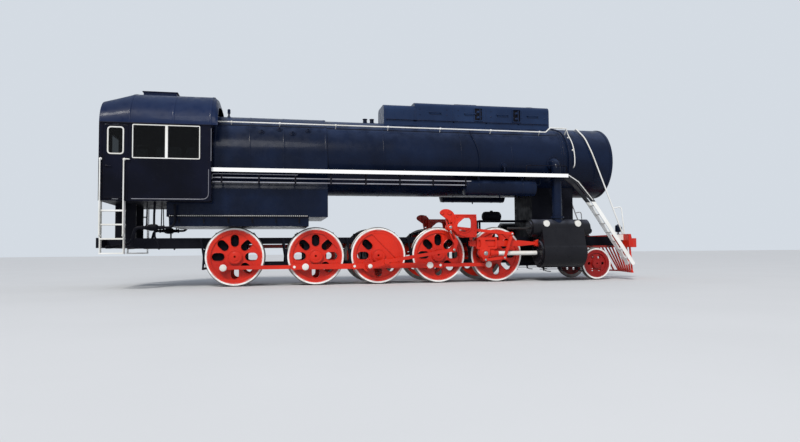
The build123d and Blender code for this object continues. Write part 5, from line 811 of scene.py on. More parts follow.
@piece(white_paint)
def window_frames(bm):
    """White frames round the double side windows."""
    for side in SIDES:
        centre, size = (WINDOW_X, side * (CAB_Y - 0.006), WINDOW_Z), (WINDOW_LENGTH, WINDOW_HEIGHT)
        wall_frame(bm, side, centre, size, (0.008, 0.03), (-0.044, 0.012), 0.022)
        y, z = (CAB_Y - 0.006, CAB_Y + 0.014), (WINDOW_LOW + 0.01, WINDOW_HIGH - 0.01)
        side_block(bm, side, span(WINDOW_X, 0.033), y, z, 0.005)


@piece(under_paint)
def window_seals(bm):
    """Dark seals round the panes inside the white frames."""
    length = (WINDOW_LENGTH - MULLION) / 2
    for side, x in product(SIDES, (WINDOW_REAR + length / 2, WINDOW_FRONT - length / 2)):
        centre, size = (x, side * (CAB_Y - 0.03), WINDOW_Z), (length, WINDOW_HEIGHT)
        wall_frame(bm, side, centre, size, (-0.004, 0.068), (-0.05, 0.11), 0.02)


@piece_for_each(SIDE_OF, white_paint, "cab_door_{}")
def door_window_frame(bm, name):
    outer, inner = (0.024, 0.08), (-0.042, 0.05)
    node_frame(bm, f"door_glass_{name}", SIDE_OF[name], CAB_Y - 0.006, outer, inner, 0.02)


@piece(bead_paint)
def cab_beads_and_corner_highlight(bm):
    """Beads at the side panel's front and lower edges and under the board, and at the cab's front corner a
    pale bead that is a painted highlight of the corner.
    """
    for side in SIDES:
        x, y, z = cab_high.x - 0.06, side * CAB_Y, cab_low.z + 0.05
        tube(bm, rounded(((x, y, BOARD_Z - 0.06), (x, y, z), (ahead(-6.2), y, z)), 0.16), 0.009, 8)
        # Pale upright bead at the cab's front corner: painted highlight of the corner.
        x = cab_high.x - 0.006
        tube(bm, ((x, y, above(3.15)), (x, y, above(3.97))), 0.008, 8)
        x, y, z = cab_high.x + 0.012, side * 1.434, above(2.852)
        tube(bm, rounded(((x, y, z - 0.14), (x, y, z), (ahead(-2.2), y, z)), 0.05), 0.008, 8)


@piece(cab_paint)
def cab_gutters(bm):
    """Gutters over the windows, and strips at the cab's corners."""
    for side in SIDES:
        y, z = side * CAB_Y, cab_high.z - 0.012
        tube(bm, ((cab_low.x + 0.02, y, z), (cab_high.x - 0.02, y, z)), 0.018, 8)
        for x in (cab_low.x + 0.03, cab_high.x - 0.03):
            z = (cab_low.z + 0.01, cab_high.z - 0.03)
            side_block(bm, side, span(x, 0.03), (CAB_Y, CAB_Y + 0.006), z, 0.002)


def arc_over(first, through, last):
    """Points of the arc over the top through three (y, z) points, without the last one."""
    a, b = through - first, last - first
    square = b.length_squared * a.orthogonal() - a.length_squared * b.orthogonal()
    centre = first + square / (2 * a.cross(b))
    start, end = (degrees(atan2(*(point - centre).yx)) for point in (first, last))
    if end > start:
        end -= 360
    radius = (first - centre).length
    return [centre + Vector(polar(radius, angle)) for angle in spread(start, end, 11)[:-1]]


@piece(roof_paint)
def roof_straps(bm):
    """Seam straps over the cab roof, on arcs from eave to crown to eave as the node has them."""
    rise = above(5.05) - cab_high.z
    shares = ((-1, 0), (-0.93, 0.43), (-0.68, 0.79), (0, 1), (0.68, 0.79), (0.93, 0.43), (1, 0))
    points = [Vector((across * CAB_Y, cab_high.z + up * rise)) for across, up in shares]
    path = [point for first in (0, 2, 4) for point in arc_over(*points[first:first + 3])]
    for distance in (-6.27, -5.25, -4.36):
        strap(bm, path + points[-1:], ahead(distance), 0.06, 0.006)


@piece(roof_paint)
def roof_vent_lid(bm):
    """Lid and louvres of the vent box on the roof."""
    top, half, rear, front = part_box("cab_roof")[1].z, 0.43, ahead(-6.16), ahead(-5.33)
    block(bm, (rear - 0.03, -half - 0.03, top - 0.004), (front + 0.03, half + 0.03, top + 0.014))
    for side, x in product(SIDES, spread(rear + 0.04, front - 0.04, 13)):
        side_block(bm, side, span(x, 0.012), (half, half + 0.014), (top - 0.05, top - 0.008), 0.002)


# Casing on the boiler, pipes and rails

CASING_FOOT = BOILER_Z + crossing(BARREL_R, CASING_Y)
POCKETS, POCKET_HEIGHT = (3.06, 4.25), 4.83


@piece(casing_paint)
def casing_seams(bm):
    """Seams, hinge ledges and handles of the casing on the boiler."""
    high_seam, low_seam, handle = 4.98, 4.89, 4.84
    seams = [(0.28, low_seam), (1.13, low_seam)]
    seams += [(distance, high_seam) for distance in (1.18, 2.3, 3.3, 4.3, 5.25)]
    grip = ((0.016, -0.002), (0.016, 0.05), (0.01, 0.055), (0, 0.055))
    for side in SIDES:
        for distance, top in seams:
            y, z = (CASING_Y, CASING_Y + 0.006), (CASING_FOOT, above(top))
            side_block(bm, side, span(ahead(distance), 0.02), y, z, 0.002)
        y, z = side * CASING_Y, CASING_FOOT + 0.01
        tube(bm, ((casing_low.x + 0.02, y, z), (casing_high.x - 0.02, y, z)), 0.016, 8)
        for distance in (1.75, 2.8, 3.8, 4.75):
            for foot in span(distance, 0.16):
                lathe(bm, grip, at(foot, y, handle), OUT[side], 12)
            tube(bm, [at(end, y + side * 0.045, handle) for end in span(distance, 0.18)], 0.011, 8)
        x = (casing_low.x + 0.05, casing_high.x - 0.05)
        side_block(bm, side, x, (CASING_Y, CASING_Y + 0.035), (above(4.6), above(4.612)), 0.003)
        side_block(bm, side, x, (CASING_Y, CASING_Y + 0.006), (above(4.56), above(4.606)), 0.002)


@piece(casing_paint)
def casing_pockets(bm):
    """Frames of the two pockets in each side of the casing, with the knobs and the bar in them."""
    knob = ((0.035, 0), (0.035, 0.01), (0.018, 0.014), (0.018, 0.05), (0.03, 0.054), (0.03, 0.07), (0, 0.072))
    for side, distance in product(SIDES, POCKETS):
        centre = at(distance, side * (CASING_Y - 0.002), POCKET_HEIGHT)
        wall_frame(bm, side, centre, (0.28, 0.4), (0, 0.03), (-0.06, 0.02), 0.03)
        for height in (4.74, 4.9):
            lathe(bm, knob, at(distance - 0.02, side * CASING_Y, height), OUT[side], 16)
        x, y = distance + 0.05, CASING_Y + 0.014
        tube(bm, side_route(side, ((x, y, 4.67), (x, y, 4.99))), 0.012, 8)


# Dark sheets in the pocket frames: painted shade that stands for the depth of the pockets, the casing being
# flat.
@piece(under_paint)
def casing_pocket_shade(bm):
    for side, distance in product(SIDES, POCKETS):
        z = span(above(POCKET_HEIGHT), 0.175)
        side_block(bm, side, span(ahead(distance), 0.115), (CASING_Y, CASING_Y + 0.004), z, 0.001)


@piece(casing_paint)
def casing_bolts(bm):
    distances, heights = (1.3, 2.1, 2.45, 3.15, 3.45, 4.15, 4.4, 5.15), (4.62, 4.78, 4.94)
    for side, distance, height in product(SIDES, distances, heights):
        bolt(bm, at(distance, side * CASING_Y, height), OUT[side], 0.013, 0.014)


BOARD_PIPE_Y = 1.4


@piece(bead_paint, slot="black_paint")
def board_pipes(bm):
    """Two pale pipes under each running board."""
    for side, height in product(SIDES, (2.76, 2.65)):
        tube(bm, side_route(side, ((-4.33, BOARD_PIPE_Y, height), (2.5, BOARD_PIPE_Y, height))), 0.016)


@piece(under_paint)
def pipe_clips(bm):
    """Clips of the pipes under the running boards."""
    for side, distance in product(SIDES, spread(-4.1, 2.34, 8)):
        z = (above(2.62), BOARD_Z - 0.028)
        side_block(bm, side, span(ahead(distance), 0.02), span(BOARD_PIPE_Y, 0.03), z, 0.004)


@piece(cab_paint)
def guard_rails(bm):
    """Guard rails over the front of the running boards."""
    for side in SIDES:
        y, top, rear, front = side * (board_high.y - 0.03), above(3.228), ahead(4.1), ahead(5.32)
        route = ((rear, y, BOARD_Z), (rear, y, top), (front, y, top), (front, y, BOARD_Z))
        tube(bm, rounded(route, 0.05), 0.013, 8)


@piece(boiler_paint)
def boiler_pipes(bm):
    """Feed clacks with their pipes, and the pipes down the barrel and over its front end."""
    clack = ((0.1, -0.01), (0.1, 0.02), (0.06, 0.025), (0.055, 0.09), (0.07, 0.095), (0.07, 0.12),
             (0.03, 0.13), (0, 0.13))
    down = ((38, 2.7), (26, 2.76), (14, 2.82), (2, 2.86), (-12, 2.88), (-24, 2.88))
    over = ((62, 5.3), (60, 5.42), (52, 5.53), (40, 5.57), (25, 5.6), (8, 5.61), (-8, 5.61), (-24, 5.61))
    for side in SIDES:
        base, out = on_shell(3.594, side, BARREL_R, -13), outwards(side, -13)
        lathe(bm, clack, base, out, 24)
        bolt_circle(bm, base + out * 0.018, out, 0.08, 6, 0, 0.01, 0.014)
        start = base + out * 0.08
        bend = start + Vector((0, side * 0.02, -0.06))
        tube(bm, rounded((start, bend, (bend.x, bend.y, BOARD_Z)), 0.05), 0.03, 12)
        route = [at(2.66, side * 0.86, 4.27), *shell_route(side, BARREL_R + 0.03, down)]
        tube(bm, rounded(route, 0.12), 0.016)
        tube(bm, rounded(shell_route(side, BARREL_R + 0.045, over), 0.12), 0.022)


@piece(boiler_paint)
def steam_pipe_flanges(bm):
    """Flanges of the steam pipes, with their bolts."""
    x, z = middle("steam_pipes").x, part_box("steam_pipes")[1].z
    flange = ((0.139, -0.02), (0.19, -0.02), (0.19, 0.02), (0.139, 0.02))
    for side in SIDES:
        bolt_circle(bm, (x, side * 1.069, z - 0.21), OUT[side], 0.18, 12, 15, 0.014, 0.018)
        for height in (1.78, 2.86):
            lathe(bm, flange, (x, side * 1.215, above(height)), UP, 36, joined=True)
            bolt_circle(bm, (x, side * 1.215, above(height) + 0.02), UP, 0.165, 10, 0, 0.012, 0.016)


@piece(white_paint)
def smokebox_braces(bm):
    """White braces from the smokebox to the front beam, their posts, and the boiler rails' front ends."""
    brace = ((6.12, 0.42, 4.41), (6.1, 0.56, 4.5), (6.21, 0.9, 4.16), (6.31, 1.12, 3.68), (6.96, 1.15, 1.96),
             (7.225, 1.14, 1.295))
    post = ((7.225, 1.22, 1.295), (7.16, 1.2, 2.11), (6.915, 1.148, 2.06))
    rail = ((42, 5.72), (34, 5.735), (26, 5.75), (17, 5.76), (8, 5.765), (-1, 5.77), (-10, 5.77))
    stand = ((0.03, -0.004), (0.028, 0.01), (0.012, 0.02), (0.012, 0.06))
    for side in SIDES:
        tube(bm, rounded(side_route(side, brace), 0.16), 0.02)
        tube(bm, rounded(side_route(side, post), 0.1), 0.016)
        foot = on_shell(5.77, side, SMOKEBOX_R - 0.01, -14)
        route = [at(5.64, side * 0.85, 4.43), *shell_route(side, SMOKEBOX_R + 0.06, rail), foot]
        tube(bm, rounded(route, 0.08), 0.015)
        for angle, distance in ((40, 5.725), (15, 5.76)):
            lathe(bm, stand, on_shell(distance, side, SMOKEBOX_R, angle), outwards(side, angle), 14)


@piece(white_paint)
def stair_edges(bm):
    """White edges along the front stairs."""
    for side in SIDES:
        route = ((5.352, 1.492, 2.97), (5.655, 1.492, 2.782), (6.1, 1.492, 2.262))
        tube(bm, side_route(side, route), 0.014, 8)


# Cylinders, wheels and motion

@piece(grey_paint)
def cylinder_bolts(bm):
    """Bolts round the cylinder and valve covers, and the bosses of the front ones."""
    # Height, rear and front cover ahead of the main axle, circle of bolts, steps and profile of the boss
    covers = (
        (CYLINDER_HEIGHT, 4.52, 5.89, (0.31, 16, 0, 0.017, 0.022), 32,
         ((0.2, -0.001), (0.2, 0.02), (0.12, 0.045), (0, 0.05))),
        (VALVE_HEIGHT, 4.27, 6.09, (0.16, 10, 0, 0.012, 0.018), 24,
         ((0.1, -0.001), (0.1, 0.015), (0.05, 0.03), (0, 0.033))),
    )
    for side, (height, rear, front, bolts, steps, boss) in product(SIDES, covers):
        y = side * CYLINDER_Y
        bolt_circle(bm, at(rear, y, height), BACK, *bolts)
        bolt_circle(bm, at(front, y, height), FORWARD, *bolts)
        lathe(bm, boss, at(front, y, height), FORWARD, steps)


@piece(white_paint)
def cylinder_caps(bm):
    """White caps on the cylinders' flanks."""
    profile = ((0.095, -0.06), (0.095, 0.03), (0.0855, 0.042), (0.0285, 0.046), (0, 0.046))
    for side, distance in product(SIDES, (4.718, 5.675)):
        lathe(bm, profile, at(distance, side * 1.36, 1.6), OUT[side], 28)


MAIN_AXLE = 3
HUB_Y = 0.88
RETURN_CRANK_Y = 1.21


@piece_for_each(AXLES, red_paint, "driver_axle_{}")
def axle_ends(bm, number):
    """Ends of a driving axle and the rims round them."""
    profile = ((0.115, -0.002), (0.115, 0.006), (0.1, 0.01), (0.03, 0.01), (0.024, 0), (0, 0))
    for side in SIDES:
        lathe(bm, profile, (AXLES[number], side * HUB_Y, AXLE_Z), OUT[side])
        torus(bm, (AXLES[number], side * (HUB_Y + 0.002), AXLE_Z), OUT[1], 0.165, 0.008, 40, 6)


@piece_for_each(AXLES, white_paint, "driver_axle_{}", "rod_steel")
def pin_caps(bm, number):
    """Caps of the crank pins, and at the main axle the nut and the pin of the return crank."""
    crank_pin = ((0.05, -0.002), (0.05, 0.012), (0.04, 0.016), (0, 0.018))
    cap = ((0.078, -0.002), (0.076, 0.008), (0.05, 0.012), (0.02, 0.014), (0, 0.014))
    for side in SIDES:
        pin_x, pin_z = polar(CRANK_R, CRANK_ANGLE[side])
        x, z = AXLES[number] + pin_x, AXLE_Z + pin_z
        if number == MAIN_AXLE:
            arm_x, arm_z = polar(0.226, CRANK_ANGLE[side] + 90)
            centre = (AXLES[number] + arm_x, side * RETURN_CRANK_Y, AXLE_Z + arm_z)
            lathe(bm, crank_pin, centre, OUT[side], 24)
            bolt(bm, (x, side * RETURN_CRANK_Y, z), OUT[side], 0.04, 0.03)
        else:
            lathe(bm, cap, (x, side * 1.0185, z), OUT[side], 28)
            bolt_circle(bm, (x, side * 1.026, z), OUT[side], 0.06, 6, 0, 0.007, 0.008)


# The leading axle's ends are in the darker red, painted shade.
@piece(shaded_red_paint, "leading_axle")
def leading_hub_caps(bm):
    """Ends of the leading axle, with a circle of bolts."""
    profile = ((0.11, -0.002), (0.11, 0.006), (0.095, 0.01), (0.025, 0.01), (0.02, 0), (0, 0))
    for side in SIDES:
        centre = (LEADING_X, side * HUB_Y, LEADING_Z)
        lathe(bm, profile, centre, OUT[side])
        bolt_circle(bm, centre, OUT[side], 0.12, 6, 30, 0.009, 0.01)


OPENING_CENTRE_R, OPENING_LENGTH, OPENING_WIDTH = 0.42, 0.32, 0.205
WEB_Y = 0.815


@piece_for_each(AXLES, red_paint, "driver_axle_{}")
def wheel_lips(bm, number):
    """Rounded cast lips round every opening of a pair of driving wheels."""
    bend, straight = OPENING_WIDTH / 2 + 0.007, (OPENING_LENGTH - OPENING_WIDTH) / 2
    outline = []
    for end, start in ((1, -90), (-1, 90)):
        centre = Vector((OPENING_CENTRE_R + end * straight, 0))
        outline += [centre + Vector(polar(bend, angle)) for angle in spread(start, start + 180, 9)]
    # Openings in steps of 45 degrees from the crank, and a lip's section as (outwards, height over the web)
    openings = (1, 2, 6, 7) if number == MAIN_AXLE else range(1, 8)
    section = ((-0.007, -0.002), (-0.006, 0.005), (0, 0.009), (0.006, 0.005), (0.016, -0.002))
    for side, step in product(SIDES, openings):
        angle = CRANK_ANGLE[side] + 45 * step
        along, across = Vector(polar(1, angle)), Vector(polar(1, angle + 90))
        rings = []
        for before, corner, after in neighbours(outline):
            out = (before - after).orthogonal().normalized()
            ring = []
            for shift, proud in section:
                place = corner + out * shift
                x, z = along * place.x + across * place.y
                ring.append((AXLES[number] + x, side * (WEB_Y + proud), AXLE_Z + z))
            rings.append(ring)
        skin(bm, rings, joined=True)


# Side views of the motion castings: (ahead of the main axle, above the rail)
BRACKET_OUTLINE = ((2.02, 1.845), (2.635, 1.84), (2.635, 1.222), (2.344, 1.222), (2.127, 1.29), (1.95, 1.43),
                   (1.945, 1.6), (2.0, 1.68))
BRACKET_HOLE = ((2.1, 1.6), (2.3, 1.765), (2.46, 1.745), (2.475, 1.59), (2.46, 1.43), (2.31, 1.36),
                (2.17, 1.385), (2.08, 1.49))
BRACKET_CENTRE = (2.3, 1.55)
SHOE_OUTLINES = (((2.69, 1.146), (3.29, 1.146), (3.29, 1.205), (3.25, 1.222), (2.73, 1.222), (2.69, 1.205)),
                 ((2.69, 0.91), (2.73, 0.896), (3.25, 0.896), (3.29, 0.91), (3.29, 0.964), (2.69, 0.964)))
CHEEK_OUTLINE = ((2.78, 1.2), (2.93, 1.2), (2.965, 1.02), (3.07, 0.93), (3.1, 0.8), (3.04, 0.68),
                 (2.99, 0.62), (2.975, 0.556), (2.885, 0.556), (2.86, 0.64), (2.8, 0.7), (2.775, 0.8),
                 (2.79, 0.92), (2.82, 1.02))
BODY_OUTLINE = ((2.75, 0.92), (3.24, 0.92), (3.21, 0.74), (3.08, 0.66), (2.84, 0.66), (2.75, 0.74))
GUIDE_OUTLINE = ((2.5, 0.99), (2.6, 0.97), (3.95, 0.97), (4.42, 1.01), (4.519, 1.015), (4.519, 1.085),
                 (4.42, 1.09), (3.95, 1.138), (2.6, 1.14), (2.5, 1.12))
LIFT_OUTLINE = ((1.6, 1.86), (1.64, 1.96), (1.73, 1.995), (1.86, 1.99), (1.97, 1.93), (2.03, 1.84),
                (2.0, 1.74), (1.93, 1.62), (1.86, 1.6), (1.85, 1.69), (1.74, 1.76))
GUDGEON = (2.95, 0.78)


@piece(rod_steel)
def motion_pins(bm):
    """Bright nuts at the pins of the valve gear and at the gudgeons."""
    # Pins: ahead, above, distance of the outer face, radius
    pins = ((1.905, 1.5, 1.401, 0.04), (2.02, 0.885, 1.319, 0.034), (2.93, 0.6, 1.297, 0.03),
            (3.48, 0.654, 1.323, 0.028), (3.7, 1.316, 1.353, 0.028), (*GUDGEON, 1.259, 0.06))
    for side, (distance, height, y, radius) in product(SIDES, pins):
        profile = ((radius, -0.002), (radius, 0.008), (radius * 0.7, 0.012), (0, 0.013))
        lathe(bm, profile, at(distance, side * y, height), OUT[side], 20)
        bolt(bm, at(distance, side * (y + 0.01), height), OUT[side], radius * 0.42, 0.014)


@piece(red_paint)
def bracket_bolts(bm):
    places = ((2.09, 1.78), (2.56, 1.78), (2.565, 1.6), (2.565, 1.42), (2.56, 1.29), (2.36, 1.275),
              (2.14, 1.355))
    for side, (distance, height) in product(SIDES, places):
        bolt(bm, at(distance, side * 1.418, height), OUT[side], 0.015, 0.016)


@piece_for_each(SIDE_OF, red_paint, "rods_{}")
def rod_oil_cups(bm, name):
    """Oil cups on the coupling rods, over the crank pins."""
    side, cup = SIDE_OF[name], ((0.03, -0.012), (0.03, 0.03), (0.018, 0.034), (0.018, 0.05), (0, 0.052))
    pin_x, pin_z = polar(CRANK_R, CRANK_ANGLE[side])
    for number, axle_x in AXLES.items():
        eye_r = 0.16 if number == MAIN_AXLE else 0.115
        lathe(bm, cup, (axle_x + pin_x, side * 0.945, AXLE_Z + pin_z + eye_r), UP, 16)


@piece(red_paint)
def crosshead_castings(bm):
    """Crossheads with their shoes and gudgeons."""
    cheek = soften(CHEEK_OUTLINE, 0.05)
    gudgeon = ((0.118, 1.25), (0.116, 1.262), (0.105, 1.266), (0.074, 1.266), (0.07, 1.258), (0, 1.258))
    socket = ((0.12, 0), (0.118, 0.08), (0.1, 0.12), (0.09, 0.2), (0.094, 0.205), (0.094, 0.23),
              (0.088, 0.236), (0.061, 0.238))
    for side in SIDES:
        for outline in SHOE_OUTLINES:
            plate(bm, outline, side, 1.045, 1.255)
        for x, (near, far) in product((2.692, 3.232), ((1.046, 1.084), (1.216, 1.254))):
            web = ((x, 0.93), (x + 0.056, 0.93), (x + 0.056, 1.19), (x, 1.19))
            plate(bm, web, side, near, far, 0.004)
        plate(bm, soften(BODY_OUTLINE, 0.05), side, 1.08, 1.222)
        plate(bm, cheek, side, 1.216, 1.256, 0.01)
        plate(bm, cheek, side, 1.044, 1.084, 0.01)
        lathe(bm, gudgeon, at(GUDGEON[0], 0, GUDGEON[1]), OUT[side], 36)
        lathe(bm, socket, at(3.1, side * CYLINDER_Y, CYLINDER_HEIGHT), FORWARD)
        for distance in (2.76, 2.86, 2.98, 3.1, 3.21):
            bolt(bm, at(distance, side * 1.235, 1.222), UP, 0.014, 0.022)
            bolt(bm, at(distance, side * 1.235, 0.896), DOWN, 0.014, 0.022)


@piece(white_paint, slot="rod_steel")
def piston_rods(bm):
    for side in SIDES:
        lathe(bm, ((0.06, 0), (0.06, 1.19)), at(3.3, side * CYLINDER_Y, CYLINDER_HEIGHT), FORWARD)


@piece(red_paint)
def guide_beams(bm):
    """Tapered guide bars, with the lugs and bolts that hold them."""
    lug = ((4.43, 0.98), (4.519, 0.96), (4.519, 1.16), (4.43, 1.12))
    bolts = ((4.475, 1.24, 1.0), (4.475, 1.24, 1.11), (2.56, 1.21, 1.03), (2.56, 1.21, 1.09))
    for side in SIDES:
        plate(bm, GUIDE_OUTLINE, side, 1.09, 1.21, 0.006)
        plate(bm, lug, side, 1.06, 1.24, 0.006)
        for place in side_route(side, bolts):
            bolt(bm, place, OUT[side], 0.014, 0.018)


@piece(red_paint)
def bracket_faces(bm):
    """Cast faces of the motion brackets, and the lifting links with their pins."""
    outline, hole = soften(BRACKET_OUTLINE, 0.09, 6), soften(BRACKET_HOLE, 0.09, 6)
    boss = ((1, 1.35), (1, 1.398), (0.85, 1.41), (0.45, 1.41), (0.4, 1.4), (0, 1.4))
    for side in SIDES:
        cast_plate(bm, outline, hole, BRACKET_CENTRE, side, 1.399, 1.432)
        plate(bm, soften(LIFT_OUTLINE, 0.06), side, 1.352, 1.385)
        for distance, height, radius in ((1.665, 1.895, 0.055), (1.875, 1.9, 0.068), (1.93, 1.68, 0.05)):
            profile = [(radius * share, y) for share, y in boss]
            lathe(bm, profile, at(distance, 0, height), OUT[side], 24)


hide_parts("crossheads")
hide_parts("crossheads")
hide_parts("guide_bars")


# Small fittings

@piece(under_paint)
def drain_cocks(bm):
    """Drain cocks under the cylinders with their rod."""
    profile = ((0.03, -0.03), (0.03, 0.02), (0.018, 0.03), (0.018, 0.09), (0, 0.09))
    y, foot = CYLINDER_Y, CYLINDER_FOOT - RAIL_TOP
    for side in SIDES:
        for x in (4.7, 5.2, 5.71):
            lathe(bm, profile, at(x, side * y, foot), DOWN, 16)
            route = ((x, y, foot - 0.06), (x + 0.08, y + 0.03, foot - 0.1), (x + 0.2, y + 0.05, foot - 0.11))
            tube(bm, rounded(side_route(side, route), 0.04), 0.012, 8)
        tube(bm, side_route(side, ((4.6, 1.12, foot - 0.045), (5.8, 1.12, foot - 0.045))), 0.008, 8)


@piece(under_paint)
def injectors(bm):
    """Injectors and their pipes under the cab."""
    x, y, z, under_floor = -5.22, 1.28, 1.5, cab_low.z + 0.02 - RAIL_TOP
    profile = ((0.04, -0.3), (0.055, -0.29), (0.055, -0.26), (0.04, -0.25), (0.045, -0.14), (0.075, -0.12),
               (0.085, -0.06), (0.085, 0.04), (0.07, 0.08), (0.045, 0.1), (0.045, 0.2), (0.058, 0.21),
               (0.058, 0.24), (0.035, 0.25), (0, 0.25))
    # Pipes: radius, sides, bend and route
    pipes = (
        (0.032, 12, 0.1, ((-5.5, y, z), (-5.3, y, z), (x, y, 1.66), (x, 1.33, 1.7), (x, 1.37, 2.08))),
        (0.038, 12, 0.14,
         ((-5.98, y, z), (-6.15, y, z), (-6.25, y, 1.1), (-6.7, 1.2, 1.02), (-6.85, 1.2, 1.02))),
        (0.028, 12, 0.08, ((-5.72, y, z + 0.05), (-5.72, y, 1.8), (-5.72, 1.2, under_floor))),
        (0.022, 10, 0.06, ((-5.7, y, z - 0.06), (-5.7, y, 1.25), (-5.6, y, 1.12), (-5.6, y, 0.95))),
        (0.014, 8, 0, ((-5.9, y, z + 0.03), (-5.9, 1.2, under_floor))),
        (0.014, 8, 0, ((-5.55, y, z + 0.03), (-5.55, 1.2, under_floor))),
        (0.012, 8, 0, ((-5.85, y, z), (-5.85, y + 0.13, z))),
    )
    for side in SIDES:
        lathe(bm, profile, at(-5.72, side * y, z), FORWARD, 24)
        for radius, sides, bend, route in pipes:
            tube(bm, rounded(side_route(side, route), bend), radius, sides)
        torus(bm, at(-5.85, side * (y + 0.13), z), OUT[1], 0.06, 0.009, 24, 6)


@piece(cab_paint)
def cab_rivets(bm):
    """Rivet lines of the cab sides."""
    places = [(cab_high.x - 0.03, CAB_Y + 0.005, cab_low.z + 0.08 + index * 0.068) for index in range(26)]
    places += [(WINDOW_REAR + 0.02 + index * 0.07, CAB_Y, WINDOW_LOW - 0.09) for index in range(23)]
    places += [(cab_low.x + 0.09 + index * 0.076, CAB_Y, cab_high.z - 0.05) for index in range(33)]
    for side, (x, y, z) in product(SIDES, places):
        rivet(bm, (x, side * y, z), OUT[side], 0.007)


@piece_for_each(SIDE_OF, cab_paint, "cab_door_{}")
def door_trim(bm, name):
    """Raised edge and handle of a cab door."""
    side, door = SIDE_OF[name], f"cab_door_{name}"
    node_frame(bm, door, side, CAB_Y - 0.002, (-0.03, 0.03), (-0.08, 0.02), 0.008)
    handle = Vector((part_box(door)[0].x + 0.07, side * CAB_Y, above(2.98)))
    profile = ((0.028, -0.002), (0.028, 0.008), (0.012, 0.012), (0.012, 0.045), (0, 0.048))
    lathe(bm, profile, handle, OUT[side], 16)
    tube(bm, [handle + Vector((along, side * 0.04, 0)) for along in (0, 0.13)], 0.009, 8)


@piece(boiler_paint, "smokebox_door")
def door_straps(bm):
    """Hinge straps of the smokebox door."""
    knuckle = ((0.024, -0.07), (0.026, -0.065), (0.026, 0.065), (0.024, 0.07), (0, 0.07))
    for z in (BOILER_Z - 0.3, BOILER_Z + 0.26):
        block(bm, (DOOR_FACE_X - 0.004, 0.08, z - 0.035), (DOOR_FACE_X + 0.014, 0.79, z + 0.035), 0.005)
        lathe(bm, knuckle, (DOOR_FACE_X, 0.8, z), UP, 16)
        for y in (0.16, 0.34, 0.52, 0.68):
            bolt(bm, (DOOR_FACE_X + 0.013, y, z), FORWARD, 0.013, 0.014)


@piece(white_paint, "smokebox_door")
def door_rail(bm):
    """Grab rail of the smokebox door."""
    arc = [(y, BOILER_Z + up * 0.55 + 0.02) for y, up in (polar(0.6, angle) for angle in range(160, 19, -10))]
    route = [(DOOR_FACE_X + 0.05, *point) for point in arc]
    tube(bm, [(DOOR_FACE_X, *arc[0]), *route, (DOOR_FACE_X, *arc[-1])], 0.012)


LAMP_FEET = [Vector((beam_low.x + 0.03, side * 0.88, beam_high.z)) for side in SIDES]
LENS_HEIGHT = Vector((0, 0, 0.17))


@piece(boiler_paint)
def marker_lamps(bm):
    """Marker lamps on the front beam."""
    lamp = ((0.05, 0), (0.05, 0.012), (0.02, 0.02), (0.02, 0.06), (0.07, 0.075), (0.085, 0.1), (0.085, 0.24),
            (0.07, 0.27), (0.03, 0.285), (0.03, 0.3), (0, 0.3))
    rim = ((0.062, 0.07), (0.066, 0.095), (0.058, 0.1), (0.056, 0.085))
    for foot in LAMP_FEET:
        lathe(bm, lamp, foot, UP, 28)
        lathe(bm, rim, foot + LENS_HEIGHT, FORWARD, 28)


@piece(window_glass)
def marker_lenses(bm):
    for foot in LAMP_FEET:
        profile = ((0.057, 0.08), (0.056, 0.094), (0.03, 0.102), (0, 0.104))
        lathe(bm, profile, foot + LENS_HEIGHT, FORWARD, 28)


@piece(red_paint)
def uncoupling_rod(bm):
    """Uncoupling rod along the right half of the beam, with its brackets."""
    x, z = beam_high.x + 0.05, beam_high.z - 0.05
    route = ((x, -1.4, z - 0.16), (x, -1.4, z), (x, -0.2, z), (x + 0.1, 0, z + 0.02))
    tube(bm, rounded(route, 0.06), 0.013)
    for y in (-1.3, -0.75, -0.3):
        block(bm, (beam_high.x - 0.002, y - 0.015, z - 0.025), (x + 0.022, y + 0.015, z + 0.025), 0.003)


@piece(boiler_paint)
def safety_valves(bm):
    """Two safety valves on the barrel, and a taller valve on the firebox."""
    valve = ((0.11, -0.02), (0.11, 0.01), (0.06, 0.02), (0.055, 0.1), (0.07, 0.11), (0.07, 0.13),
             (0.04, 0.14), (0, 0.14))
    for distance in (-0.22, -0.02):
        lathe(bm, valve, (ahead(distance), 0, BOILER_Z + BARREL_R), UP, 28)
    tall = ((0.05, -0.01), (0.05, 0.01), (0.025, 0.02), (0.025, 0.09), (0.04, 0.1), (0.04, 0.2), (0.02, 0.22),
            (0, 0.22))
    lathe(bm, tall, (ahead(-4), -0.25, fire_high.z - 0.03), UP, 20)


@piece(under_paint)
def ash_pan_ribs(bm):
    """Stiffening angles of the ash pan."""
    low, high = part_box("ash_pan")
    for side, x in product(SIDES, spread(low.x + 0.25, high.x - 0.25, 6)):
        side_block(bm, side, span(x, 0.015), (high.y, high.y + 0.02), (low.z + 0.08, high.z - 0.04), 0.003)


@piece(boiler_paint)
def tank_bands(bm):
    """Bands, domed ends, pipes and drain cocks of the air reservoirs."""
    radius, z = 0.225, above(2.61)
    dome = ((radius * 0.94, 0), (radius * 0.7, 0.03), (radius * 0.3, 0.05), (0, 0.055))
    cock = ((0.02, -0.01), (0.02, 0.02), (0.012, 0.05), (0, 0.055))
    for side in SIDES:
        y = side * 1.2
        path = arc_path(radius, 90, -270, (y, z), 10)
        for distance, width in ((2.45, 0.05), (2.75, 0.06), (4.04, 0.06), (4.34, 0.05)):
            strap(bm, path, ahead(distance), width, 0.006)
        lathe(bm, dome, (tank_low.x, y, z), BACK)
        lathe(bm, dome, (tank_high.x, y, z), FORWARD)
        x = tank_high.x + 0.2
        route = ((tank_high.x + 0.03, y, z + 0.1), (x, y, z + 0.1), (x, y, BOARD_Z - 0.03))
        tube(bm, rounded(route, 0.06), 0.016)
        lathe(bm, cock, (ahead(3.4), y, z - radius), DOWN, 12)


